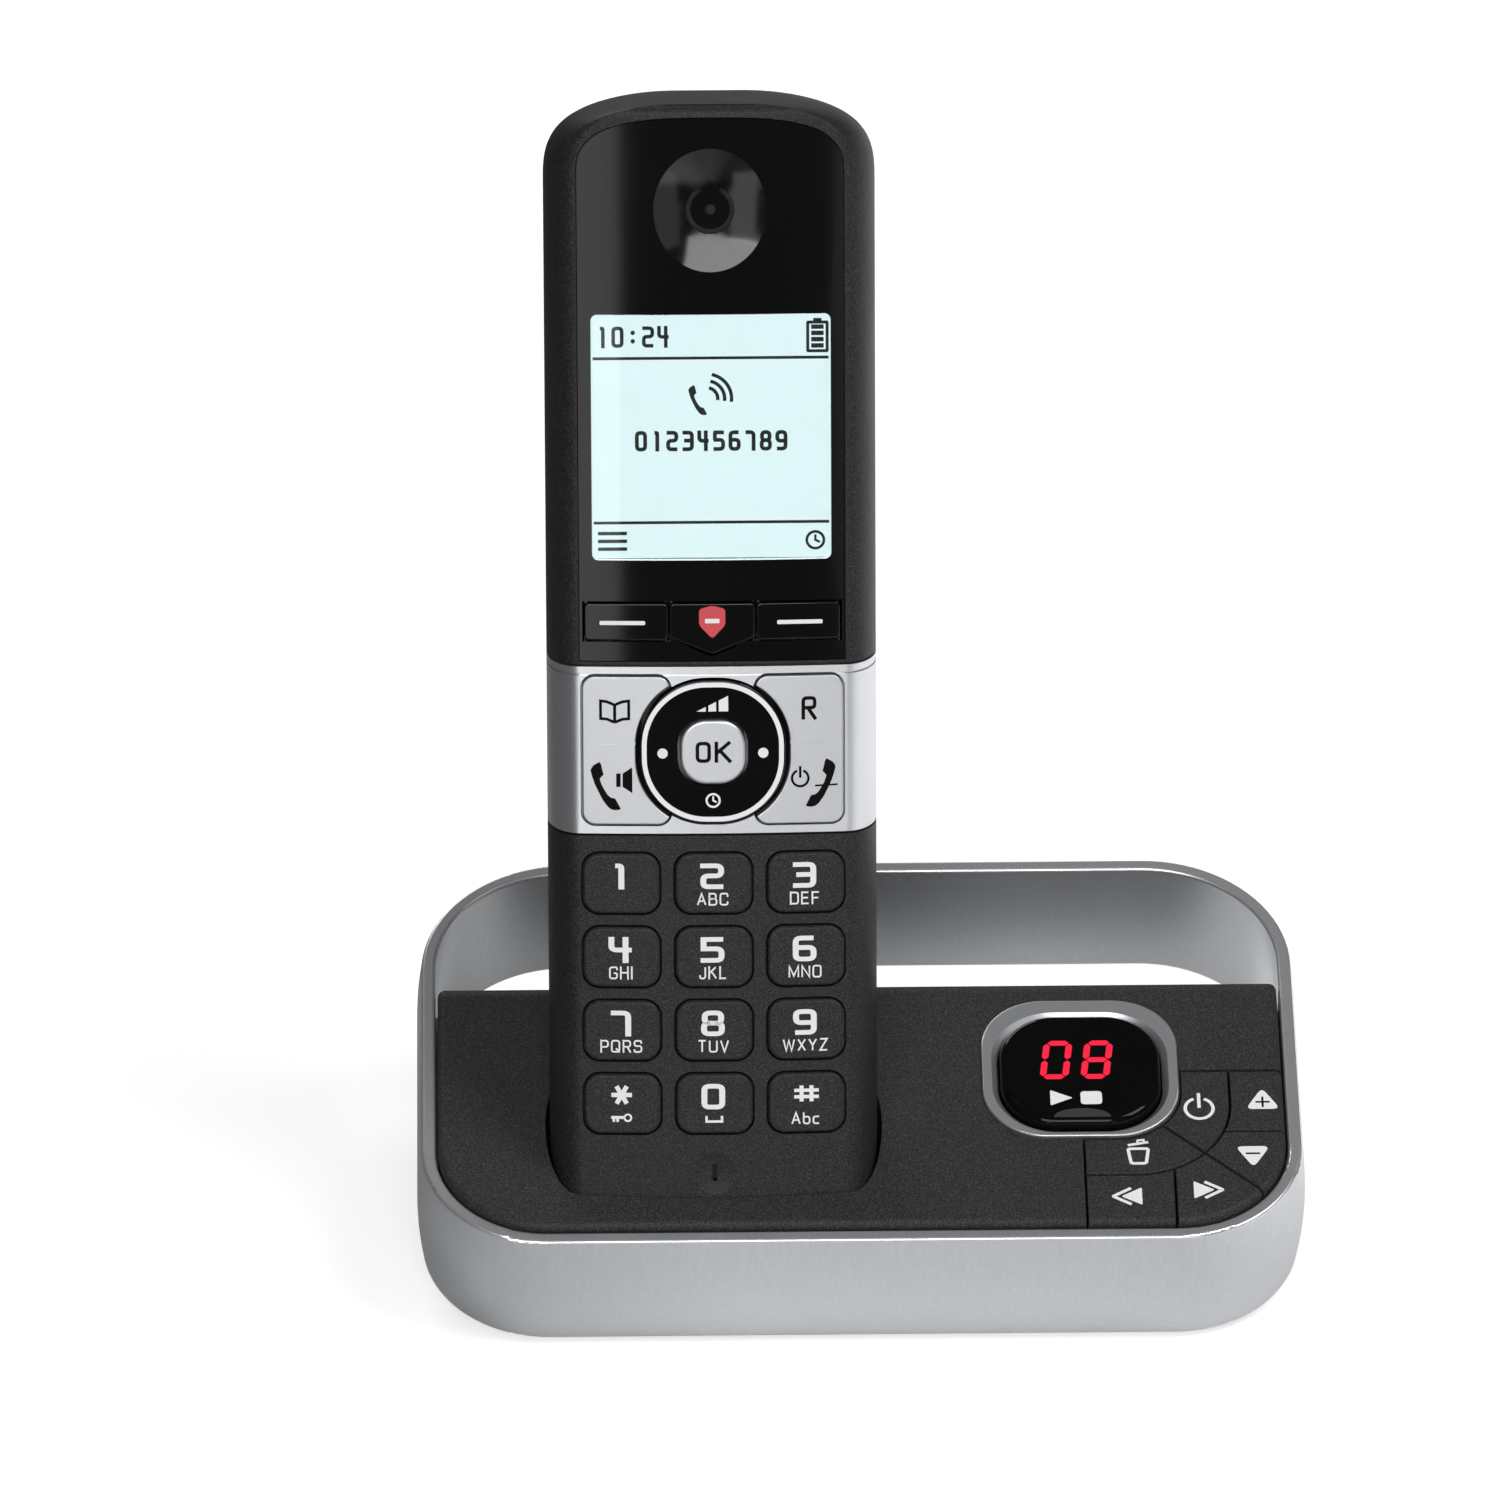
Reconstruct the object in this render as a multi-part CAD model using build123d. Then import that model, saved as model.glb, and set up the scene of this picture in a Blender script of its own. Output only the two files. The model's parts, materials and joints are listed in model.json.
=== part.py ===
from build123d import *
import os
from math import atan, cos, radians, sin, sqrt, tan

# A cordless handset that stands in a charging base with an answering machine.
# Lengths are in millimetres and angles in degrees. Three frames are used:
# the deck frame (x right, y up the slope from the front rim, z out of the deck),
# the handset frame (x right, y from its face to its back, z from its lower end up)
# and the table frame (+Z up), in which every piece is written out.

# Driving dimensions of the base ring
RING_WIDTH = 129.0
RING_DEPTH = 77.0
RING_HEIGHT = 20.6
RING_WALL = 2.0
RING_CROWN = 0.8
RING_FRONT_RADIUS = 18.5
RING_REAR_RADIUS = 21.5
RING_LIFT = 0.9
RING_EDGE = 0.5
LEDGE_WIDTH = 1.8
LEDGE_THICK = 1.5

# Driving dimensions of the deck and the lower shell
DECK_TILT = 16.0
DECK_GAP = 0.35
DECK_RISE = 0.9
DECK_DEPTH = 52.0
DECK_PLATE = 2.4
DECK_EDGE = 1.1
DECK_REAR_EDGE = 3.2
SKIRT_DEPTH = 6.8
SHELL_WALL = 1.8
FLOOR_THICK = 1.8
FOOT_HEIGHT = 1.0
FOOT_RADIUS = 4.5
FOOT_RECESS = 0.6
FOOT_FRONT_SIDE = 17.5
FOOT_REAR_SIDE = 14.5
FOOT_FRONT_Y = 16.5
FOOT_REAR_Y = 52.5
REAR_BOTTOM_EDGE = 1.2

# Driving dimensions of the deck keys
BEZEL_SIDE = 32.1
BEZEL_Y = 32.9
BEZEL_WIDTH = 28.9
BEZEL_LENGTH = 27.5
BEZEL_RADIUS = 9.4
BEZEL_CORNER_GROWTH = 0.64
BEZEL_SEAT = 0.6
BEZEL_RISE = 0.5
BEZEL_SLOPE = 0.9
LENS_WIDTH = 23.6
LENS_LENGTH = 21.9
LENS_SHIFT = -0.9
LENS_RADIUS = 8.2
LENS_RISE = 1.5
LENS_EDGE = 1.3
LENS_WALL = 1.6
LENS_ROOF = 1.7
LENS_FLANGE = 0.7
LENS_FLANGE_THICK = 1.1
KEY_BAND = 7.4
KEY_ZONE_SIDE = 32.0
KEY_ZONE_REAR = 32.5
KEY_THICK = 2.3
KEY_WELL = 4.1
WELL_FLOOR = 1.4
KEY_SEAM = 0.35
KEY_EDGE = 0.2
VOLUME_SEAM_Y = 20.3
TRACK_SEAM_SIDE = 18.9
CORNER_SEAM_ANGLE = -43.0
CORNER_SEAM_SIDE = 14.3
CORNER_SEAM_Y = 15.95
DECK_KEY_TRAVEL = 0.8
STEM_RADIUS = 1.8
STEM_GAP = 0.3
DOME_RADIUS = 2.2
DOME_HEIGHT = 0.4
MAT_THICK = 0.8

# Driving dimensions of what the base holds
BOARD_THICK = 1.6
BOARD_DEPTH = 9.3
BOARD_LEFT = 8.0
BOARD_MARGIN = 1.2
BOARD_GAP = 0.5
LED_WIDTH = 17.0
LED_LENGTH = 12.4
LED_GAP = 0.5
SPEAKER_RADIUS = 14.0
SPEAKER_HEIGHT = 6.5
SPEAKER_MAGNET_RADIUS = 9.0
SPEAKER_Y = 31.0
SPEAKER_RIM = 1.2
SPEAKER_RIM_HEIGHT = 2.4
GRILLE_SLOTS = 7
GRILLE_PITCH = 3.4
GRILLE_SLOT_WIDTH = 1.4
SOCKET_SIDE = 47.5
SOCKET_WIDTH = 13.0
SOCKET_HEIGHT = 12.0
SOCKET_LENGTH = 14.0
SOCKET_MOUTH_WIDTH = 9.8
SOCKET_MOUTH_HEIGHT = 7.0
SOCKET_MOUTH_DEPTH = 9.5
SOCKET_NOTCH_WIDTH = 6.2
SOCKET_NOTCH_HEIGHT = 1.6
INLET_SIDE = 21.5
INLET_WIDTH = 9.0
INLET_HEIGHT = 11.0
INLET_LENGTH = 13.0
INLET_BORE = 3.2
INLET_PIN = 0.8
INLET_BORE_DEPTH = 9.5
OUTLET_GAP = 0.2
SCREW_LEFT_SIDE = 7.9
SCREW_RIGHT_SIDE = 10.5
SCREW_FRONT_Y = 20.0
SCREW_REAR_Y = 43.0
SCREW_MIDDLE_X = 14.0
SCREW_MIDDLE_Y = 13.0
BOSS_RADIUS = 3.2
BOSS_SPLIT = 9.0
SCREW_RADIUS = 1.1
SCREW_GAP = 0.15
SCREW_HEAD_RADIUS = 2.3
SCREW_HEAD_HEIGHT = 1.6
SCREW_HEAD_DEPTH = 3.0
SCREW_BITE = 5.0

# Driving dimensions of the handset and its pocket
HANDSET_WIDTH = 48.0
HANDSET_DEPTH = 24.0
HANDSET_LENGTH = 167.5
HANDSET_LEAN = 17.0
HANDSET_X = -21.7
FRONT_CROWN = 0.9
SIDE_ROUND = 4.6
REAR_ROUND = 9.0
TOP_CROWN = 13.0
TOP_FRONT_EDGE = 1.7
TOP_REAR_EDGE = 12.0
LOW_CROWN = 7.0
LOW_FRONT_EDGE = 2.2
LOW_REAR_EDGE = 7.0
CROWN_POWER = 3.0
ROUND_PULL = 0.55
COVER_WALL = 2.0
FRONT_WALL = 2.6
PARTING = 12.0
POCKET_LIP = 7.7
POCKET_DEPTH = 6.5
POCKET_GAP = 0.7
POCKET_FLOOR_GAP = 0.15
CUP_WALL = 1.6
HANDSET_LIFT_TRAVEL = 60.0

# Driving dimensions of the handset's face
BAND_LOW = 60.4
BAND_HIGH = 85.1
BAND_THICK = 1.1
BAND_SEAM = 0.35
BAND_BEAD = 1.0
BAND_GROOVE = 0.3
PANEL_WIDTH = 38.4
PANEL_LOW = 86.0
PANEL_TOP_MARGIN = 2.0
PANEL_CROWN = 8.6
PANEL_THICK = 1.4
PANEL_GAP = 0.15
WINDOW_WIDTH = 34.6
WINDOW_LOW = 100.8
WINDOW_HIGH = 136.9
WINDOW_RADIUS = 0.9
WINDOW_GAP = 0.04
DISPLAY_MARGIN = 1.6
EAR_HEIGHT = 152.1
EAR_RADIUS = 9.0
EAR_DEPTH = 0.9
EAR_SLOT_RADIUS = 3.2
EAR_SLOT_WIDTH = 0.7
EAR_SLOT_OPEN = 55.0
EAR_HOLE_RADIUS = 0.8
EAR_CAVITY_RADIUS = 6.0
EARPIECE_RADIUS = 8.5
SEAT_GAP = 0.02
MIC_LOW = 8.3
MIC_HIGH = 11.0
MIC_SLOT = 0.7
MIC_DISH_RADIUS = 3.2
MIC_DISH_DEPTH = 0.35
MIC_RADIUS = 3.0

# Driving dimensions of the handset's keys
KEY_WIDTH = 11.1
KEY_HEIGHT = 8.9
KEY_RADIUS = 2.4
KEY_PITCH_X = 13.4
KEY_PITCH_Z = 10.97
KEY_ROW_LOW = 20.1
KEY_PROUD = 0.5
KEY_SOFT_EDGE = 0.45
KEY_GAP = 0.3
KEY_SEAT = 0.15
KEY_FLANGE = 0.6
KEY_FLANGE_THICK = 0.7
KEY_TRAVEL = 0.7
KEY_STEM_RADIUS = 1.6
KEY_STEM_LENGTH = 0.5
SOFT_LOW = 89.1
SOFT_HIGH = 94.5
SOFT_OUTER = 18.5
SOFT_INNER = 6.3
SOFT_POINT = 87.0
SOFT_SHOULDER = 89.5
SOFT_RADIUS = 0.7
SOFT_PROUD = 0.25
NAV_HEIGHT = 72.6
NAV_WIDTH = 21.8
NAV_RADIUS = 10.0
NAV_PROUD = 0.5
NAV_TRIM_OUTER = 20.6
NAV_TRIM_INNER = 19.2
NAV_TRIM_PROUD = 0.15
NAV_TRIM_DEPTH = 0.6
NAV_HOLE = 10.2
NAV_HOLE_RADIUS = 4.1
NAV_PIVOT = 3.0
NAV_BODY_BACK = 3.5
NAV_PAD_OUTER = 8.4
NAV_PAD_INNER = 5.9
NAV_PAD_THICK = 0.9
NAV_PAD_GAP = 0.4
ROCK_GAP = 0.45
ROCK_ANGLE = 1.8
ROCK_RELIEF = 0.95
NAV_RELIEF = 0.4
OK_WIDTH = 9.5
OK_RADIUS = 3.8
OK_PROUD = 0.7
OK_FLANGE_RADIUS = 5.5
PLATE_OUTER = 18.9
PLATE_INNER = 6.2
PLATE_LOW = 61.8
PLATE_HIGH = 83.7
PLATE_RADIUS = 1.8
PLATE_PROUD = 0.25
PLATE_SEAM = 73.8
PLATE_GROOVE_WIDTH = 0.25
PLATE_GROOVE_DEPTH = 0.15
PLATE_GROOVE_INSET = 2.4

# Driving dimensions of what the handset holds
KEYMAT_FRONT = 5.4
KEYMAT_THICK = 0.6
KEYMAT_WIDTH = 35.0
KEYMAT_MARGIN = 1.5
KEYMAT_DOME = 0.4
PCB_THICK = 1.2
PCB_WIDTH = 30.4
PCB_LOW = 6.5
PCB_TOP_MARGIN = 7.5
CELL_RADIUS = 5.15
CELL_LENGTH = 43.4
CELL_NUB_RADIUS = 1.8
CELL_NUB = 0.8
CELL_PITCH = 11.2
CELL_GAP = 0.25
CONTACT_SHEET = 0.5
CONTACT_SPRING = 1.6
CONTACT_SPRING_RADIUS = 2.4
TRAY_LOW = 40.0
TRAY_WALL = 1.2
DOOR_WIDTH = 27.0
DOOR_THICK = 1.6
DOOR_MARGIN = 2.2
DOOR_HINGE_MARGIN = 4.0
DOOR_GAP = 0.25
DOOR_RADIUS = 2.5
DOOR_TAB_X = 7.0
DOOR_TAB_WIDTH = 5.0
DOOR_TAB_REACH = 1.8
DOOR_TAB_ROOT = 1.4
DOOR_TAB_THICK = 1.0
DOOR_TAB_GAP = 0.35
DOOR_SCOOP_RADIUS = 9.0
DOOR_SCOOP_DEPTH = 0.6
DOOR_SWING = 70.0
RINGER_HEIGHT = 128.0
RINGER_RADIUS = 10.0
RINGER_THICK = 4.5
RINGER_SLOTS = 5
RINGER_PITCH = 2.8
RINGER_SLOT_WIDTH = 1.2
HANDSET_SCREWS = ((-15.0, 11.0), (15.0, 11.0), (-18.3, 149.0), (18.3, 149.0))
HANDSET_BOSS_RADIUS = 2.4
REAR_BOSS_RADIUS = 3.0
HANDSET_HEAD_SEAT = 15.2
PLATE_CONTACT_X = 7.0
PLATE_CONTACT_WIDTH = 3.6
PLATE_CONTACT_DEPTH = 5.0
PLATE_CONTACT_THICK = 0.5
PLATE_CONTACT_Y = 8.0
SPRING_WIDTH = 2.4
SPRING_THICK = 0.5
SPRING_TIP_GAP = 0.05
SPRING_SLOT_GAP = 0.2
SPRING_FOOT = 5.0
SPRING_TAIL = 4.0

# Values worked out from the driving dimensions
RIM_HEIGHT = RING_LIFT + RING_HEIGHT * cos(radians(DECK_TILT))
RING_INNER = RING_WALL + DECK_GAP
LEDGE_TOP = -SKIRT_DEPTH
LEDGE_BOTTOM = LEDGE_TOP - LEDGE_THICK
DECK_UNDERSIDE = DECK_RISE - DECK_PLATE
KEY_UNDERSIDE = DECK_RISE - KEY_THICK
WELL_TOP = DECK_RISE - KEY_WELL
WELL_UNDERSIDE = WELL_TOP - WELL_FLOOR
BOARD_TOP = -BOARD_DEPTH
BOARD_UNDERSIDE = BOARD_TOP - BOARD_THICK
BASE_MAT_TOP = BOARD_TOP + MAT_THICK
STEM_END = BASE_MAT_TOP + DOME_HEIGHT + DECK_KEY_TRAVEL + KEY_SEAT
LENS_TOP = DECK_RISE + LENS_RISE
LENS_Y = BEZEL_Y + LENS_SHIFT
BEZEL_X = RING_WIDTH / 2 - BEZEL_SIDE
KEY_ZONE_LEFT = RING_WIDTH / 2 - KEY_ZONE_SIDE
TRACK_SEAM_X = RING_WIDTH / 2 - TRACK_SEAM_SIDE
CORNER_SEAM_X = RING_WIDTH / 2 - CORNER_SEAM_SIDE
FOOT_FRONT_X = RING_WIDTH / 2 - FOOT_FRONT_SIDE
FOOT_REAR_X = RING_WIDTH / 2 - FOOT_REAR_SIDE
BOARD_POST_LEFT = BOARD_LEFT + BOSS_RADIUS
BOARD_POST_RIGHT = RING_WIDTH / 2 - RING_INNER - 3 * BOSS_RADIUS
SPEAKER_X = (BOARD_POST_LEFT + BOARD_POST_RIGHT) / 2
SOCKET_X = RING_WIDTH / 2 - SOCKET_SIDE
INLET_X = RING_WIDTH / 2 - INLET_SIDE
BASE_SCREWS = (
    (SCREW_LEFT_SIDE - RING_WIDTH / 2, SCREW_FRONT_Y),
    (SCREW_LEFT_SIDE - RING_WIDTH / 2, SCREW_REAR_Y),
    (RING_WIDTH / 2 - SCREW_RIGHT_SIDE, SCREW_REAR_Y),
    (SCREW_MIDDLE_X, SCREW_MIDDLE_Y),
)
LENS_FLANGE_TOP = -BEZEL_SEAT - KEY_SEAT
LENS_BOTTOM = LENS_FLANGE_TOP - LENS_FLANGE_THICK
LED_TOP = LENS_BOTTOM - DECK_KEY_TRAVEL - LED_GAP
FLOOR_TOP = FOOT_HEIGHT + FLOOR_THICK
HALF_WIDTH = HANDSET_WIDTH / 2
PANEL_HIGH = HANDSET_LENGTH - PANEL_TOP_MARGIN
CAP_BACK = FRONT_WALL + KEY_SEAT
KEY_FLANGE_BACK = CAP_BACK + KEY_FLANGE_THICK
PCB_FRONT = KEYMAT_FRONT + KEYMAT_THICK
PCB_BACK = PCB_FRONT + PCB_THICK
CELL_Y = HANDSET_DEPTH - DOOR_THICK - CELL_GAP - CELL_RADIUS
TRAY_HALF = CELL_PITCH / 2 + CELL_RADIUS + CELL_GAP
TRAY_FRONT = CELL_Y - CELL_RADIUS - CELL_GAP
TRAY_HIGH = TRAY_LOW + 2 * CONTACT_SHEET + CONTACT_SPRING + CELL_LENGTH + CELL_NUB
DOOR_LOW = TRAY_LOW - TRAY_WALL - DOOR_HINGE_MARGIN
DOOR_HIGH = TRAY_HIGH + TRAY_WALL + DOOR_MARGIN
ROCK_FLANGE_FRONT = FRONT_WALL + ROCK_GAP
FAR = 200.0


def deck_point(x, y, z):
    """Place a deck point in the table frame, before the model is centred."""
    tilt = radians(DECK_TILT)
    return Vector(x, y * cos(tilt) - z * sin(tilt), RIM_HEIGHT + y * sin(tilt) + z * cos(tilt))


def handset_origin():
    """Foot of the handset's face, so that the face stands just behind the pocket's lip."""
    lean = radians(HANDSET_LEAN)
    slant = radians(DECK_TILT + HANDSET_LEAN)
    lip = deck_point(HANDSET_X, POCKET_LIP + POCKET_GAP / cos(slant), DECK_RISE)
    return lip - Vector(0, sin(lean), cos(lean)) * POCKET_DEPTH


DECK = Location((0, 0, RIM_HEIGHT), (DECK_TILT, 0, 0))
STAND = Location(handset_origin(), (-HANDSET_LEAN, 0, 0))


def block(x_low, x_high, y_low, y_high, z_low, z_high):
    """A box between two corners."""
    centre = ((x_low + x_high) / 2, (y_low + y_high) / 2, (z_low + z_high) / 2)
    return Pos(*centre) * Box(x_high - x_low, y_high - y_low, z_high - z_low)


def raised(face, low, high):
    """Extrude a face drawn in plan from one height to another."""
    return extrude(Pos(0, 0, low) * face, amount=high - low)


def sunk(face, front, back):
    """Extrude a face drawn in front view (x, z) from one depth to another."""
    return extrude(Plane.XZ.offset(-back) * face, amount=back - front)


def post(x, y, radius, low, high):
    """An upright cylinder."""
    return Pos(x, y, (low + high) / 2) * Cylinder(radius, high - low)


def peg(x, z, radius, front, back):
    """A cylinder that points into the handset."""
    return Pos(x, (front + back) / 2, z) * Rot(90, 0, 0) * Cylinder(radius, back - front)


def rectangle(x_low, x_high, y_low, y_high, radius=0):
    """A rectangle between two corners, rounded where a radius is given."""
    centre = Pos((x_low + x_high) / 2, (y_low + y_high) / 2)
    if radius:
        return centre * RectangleRounded(x_high - x_low, y_high - y_low, radius)
    return centre * Rectangle(x_high - x_low, y_high - y_low)


def joined(pieces):
    """Several solids kept as one group."""
    return Compound([solid for piece in pieces for solid in piece.solids()])


# The base, drawn in the deck frame


def loop_outline(inset):
    """Plan of the ring: a rectangle whose front and rear corners have their own radii."""
    plan = rectangle(-RING_WIDTH / 2 + inset, RING_WIDTH / 2 - inset, inset, RING_DEPTH - inset)
    plan = fillet(plan.vertices().group_by(Axis.Y)[0], RING_FRONT_RADIUS - inset)
    return fillet(plan.vertices().group_by(Axis.Y)[-1], RING_REAR_RADIUS - inset)


def deck_outline(inset):
    """Plan of the body inside the ring, which stops short of the ring's rear."""
    rear = DECK_DEPTH + RING_INNER - inset
    return loop_outline(inset) & rectangle(-FAR, FAR, -FAR, rear)


def bezel_outline(grow=0.0):
    """Squircle round the display lens, grown with corners that stay tight."""
    radius = BEZEL_RADIUS + BEZEL_CORNER_GROWTH * grow
    plan = RectangleRounded(BEZEL_WIDTH + 2 * grow, BEZEL_LENGTH + 2 * grow, radius)
    return Pos(BEZEL_X, BEZEL_Y) * plan


def lens_outline(grow=0.0):
    """Squircle of the display lens, grown evenly."""
    plan = RectangleRounded(LENS_WIDTH + 2 * grow, LENS_LENGTH + 2 * grow, LENS_RADIUS + grow)
    return Pos(BEZEL_X, LENS_Y) * plan


def key_zone(grow=0.0):
    """Corner of the deck that the keys fill, right and in front of the bezel."""
    return rectangle(KEY_ZONE_LEFT - grow, FAR, -FAR, KEY_ZONE_REAR + grow)


def make_base_ring():
    """Band with a crowned outer face, swept round the loop, with a ledge for the shells."""
    path = loop_outline(0).face().outer_wire()
    along = path % 0
    start = Plane(origin=path @ 0, x_dir=along.cross(Vector(0, 0, 1)), z_dir=along)
    inner = -RING_WALL
    section = make_face(
        [
            Line((inner, 0), (0, 0)),
            ThreePointArc((0, 0), (RING_CROWN, RING_HEIGHT / 2), (0, RING_HEIGHT)),
            Line((0, RING_HEIGHT), (inner, RING_HEIGHT)),
            Line((inner, RING_HEIGHT), (inner, 0)),
        ]
    )
    section = fillet(section.vertices(), RING_EDGE)
    band = sweep(start * section, path=path)
    ledge = loop_outline(RING_WALL - RING_EDGE) - loop_outline(RING_WALL + LEDGE_WIDTH)
    ledge = ledge & rectangle(-FAR, FAR, -FAR, DECK_DEPTH)
    return band + raised(ledge, LEDGE_BOTTOM, LEDGE_TOP)


def deck_blank():
    """Deck and skirt as one block, with its outer edges rounded and a rolled rear edge."""
    body = raised(deck_outline(RING_INNER), LEDGE_TOP, DECK_RISE)
    top_edges = body.edges().group_by(Axis.Z)[-1]
    body = fillet(top_edges.sort_by(Axis.Y)[-1], DECK_REAR_EDGE)
    upper = body.edges().filter_by(lambda edge: edge.center().Z > DECK_RISE - DECK_REAR_EDGE / 2)
    rims = [edge for edge in upper if abs(edge.center().X) > 1 or edge.center().Y < DECK_DEPTH / 2]
    return fillet(rims, DECK_EDGE)


def seam(x, y, angle, length):
    """A straight gap between two keys, starting at a point."""
    strip = Pos(length / 2, 0) * Rectangle(length, KEY_SEAM)
    return Pos(x, y) * Rot(0, 0, angle) * strip


def deck_key_blanks(blank):
    """Cut the corner of the deck into six keys along their seams, by name."""
    zone = key_zone(-KEY_SEAM / 2) - bezel_outline(KEY_SEAM)
    body = blank & raised(zone, KEY_UNDERSIDE, FAR)
    ring = bezel_outline(KEY_BAND + KEY_SEAM / 2) - bezel_outline(KEY_BAND - KEY_SEAM / 2)
    right = BEZEL_X + BEZEL_WIDTH / 2 + KEY_BAND
    front = BEZEL_Y - BEZEL_LENGTH / 2 - KEY_BAND
    reach = RING_WIDTH / 4
    slope = radians(CORNER_SEAM_ANGLE)
    diagonal_x = CORNER_SEAM_X - reach / 2 * cos(slope)
    diagonal_y = CORNER_SEAM_Y - reach / 2 * sin(slope)
    inside = bezel_outline(KEY_BAND)
    seams = [
        ring,
        seam(diagonal_x, diagonal_y, CORNER_SEAM_ANGLE, 2 * reach),
        seam(right - KEY_BAND, VOLUME_SEAM_Y, 0, reach) - inside,
        seam(TRACK_SEAM_X, front + KEY_BAND, -90, reach) - inside,
    ]
    for gap in seams:
        body = body - raised(gap, KEY_UNDERSIDE - 1, FAR)
    inner_right = right - KEY_BAND / 2
    inner_front = front + KEY_BAND / 2
    outer_right = (right + RING_WIDTH / 2 - RING_INNER - SHELL_WALL) / 2
    outer_front = (front + RING_INNER) / 2
    centres = {
        "power_key": (inner_right, (KEY_ZONE_REAR + VOLUME_SEAM_Y) / 2),
        "delete_key": ((KEY_ZONE_LEFT + TRACK_SEAM_X) / 2, inner_front),
        "plus_key": (outer_right, (KEY_ZONE_REAR + VOLUME_SEAM_Y) / 2),
        "minus_key": (outer_right, (VOLUME_SEAM_Y + CORNER_SEAM_Y - KEY_BAND / 2) / 2),
        "rewind_key": ((KEY_ZONE_LEFT + TRACK_SEAM_X) / 2, outer_front),
        "forward_key": (TRACK_SEAM_X + KEY_BAND / 2, outer_front),
    }
    keys = {}
    for name, (x, y) in centres.items():
        probe = Vector(x, y, (KEY_UNDERSIDE + DECK_RISE) / 2)
        keys[name] = min(body.solids(), key=lambda solid: solid.distance_to(probe))
    return keys, centres


def make_deck_keys(blanks, centres):
    """Give each deck key a softened seam edge and the stem that presses its dome."""
    keys = {}
    for name, (x, y) in centres.items():
        cap = blanks[name]
        top = cap.faces().filter_by(Axis.Z).sort_by(Axis.Z)[-1]
        sharp = [edge for edge in top.edges() if seam_edge(edge)]
        cap = cap.fillet(KEY_EDGE, sharp)
        keys[name] = cap + post(x, y, STEM_RADIUS, STEM_END, KEY_UNDERSIDE)
    return keys


def seam_edge(edge):
    """True for a key's edge on a seam, and not where the deck's own rounding starts."""
    reach = RING_WIDTH / 2 - RING_INNER - DECK_EDGE
    middle = edge @ 0.5
    rim = loop_outline(RING_INNER + DECK_EDGE).face()
    on_rim = rim.outer_wire().distance_to(Vector(middle.X, middle.Y, 0)) < KEY_SEAM / 2
    return not on_rim and abs(middle.X) < reach


def make_top_cover(blank, centres):
    """Deck with skirt, key well, bezel seat, lens opening, handset cup and screw bosses."""
    hollow = deck_outline(RING_INNER + SHELL_WALL)
    body = blank - raised(hollow - key_zone(SHELL_WALL), LEDGE_TOP - 1, DECK_UNDERSIDE)
    body = body - raised(hollow & key_zone(SHELL_WALL), LEDGE_TOP - 1, WELL_UNDERSIDE)
    well = key_zone(KEY_SEAM / 2) - bezel_outline(KEY_SEAM / 2)
    body = body - raised(well, WELL_TOP, FAR)
    body = body - raised(bezel_outline(WINDOW_GAP), -BEZEL_SEAT, FAR)
    body = body - raised(lens_outline(LENS_FLANGE + KEY_GAP), LEDGE_TOP - 1, FAR)
    for x, y in centres.values():
        body = body - post(x, y, STEM_RADIUS + STEM_GAP, WELL_UNDERSIDE - 1, WELL_TOP + 1)
    body = DECK * body
    under_deck = DECK * block(-FAR, FAR, -FAR, DECK_DEPTH, -FAR, DECK_UNDERSIDE / 2)
    for x, y in BASE_SCREWS:
        spot = deck_point(x, y, DECK_UNDERSIDE)
        body = body + (post(spot.X, spot.Y, BOSS_RADIUS, BOSS_SPLIT, FAR) & under_deck)
        bite = BOSS_SPLIT + SCREW_BITE + SCREW_GAP
        body = body - post(spot.X, spot.Y, SCREW_RADIUS + SCREW_GAP, BOSS_SPLIT - 1, bite)
    cup = handset_prism(POCKET_GAP + CUP_WALL, -POCKET_FLOOR_GAP - CUP_WALL, HANDSET_LENGTH / 2)
    within_ring = DECK * raised(deck_outline(RING_INNER), -FAR, DECK_UNDERSIDE / 2)
    body = body + ((STAND * cup) & within_ring)
    pocket = handset_prism(POCKET_GAP, -POCKET_FLOOR_GAP, HANDSET_LENGTH / 2)
    slots = [spring_strip(side, SPRING_SLOT_GAP) for side in (-1, 1)]
    body = body - STAND * pocket
    for slot in slots:
        body = body - STAND * slot
    return body


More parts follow.
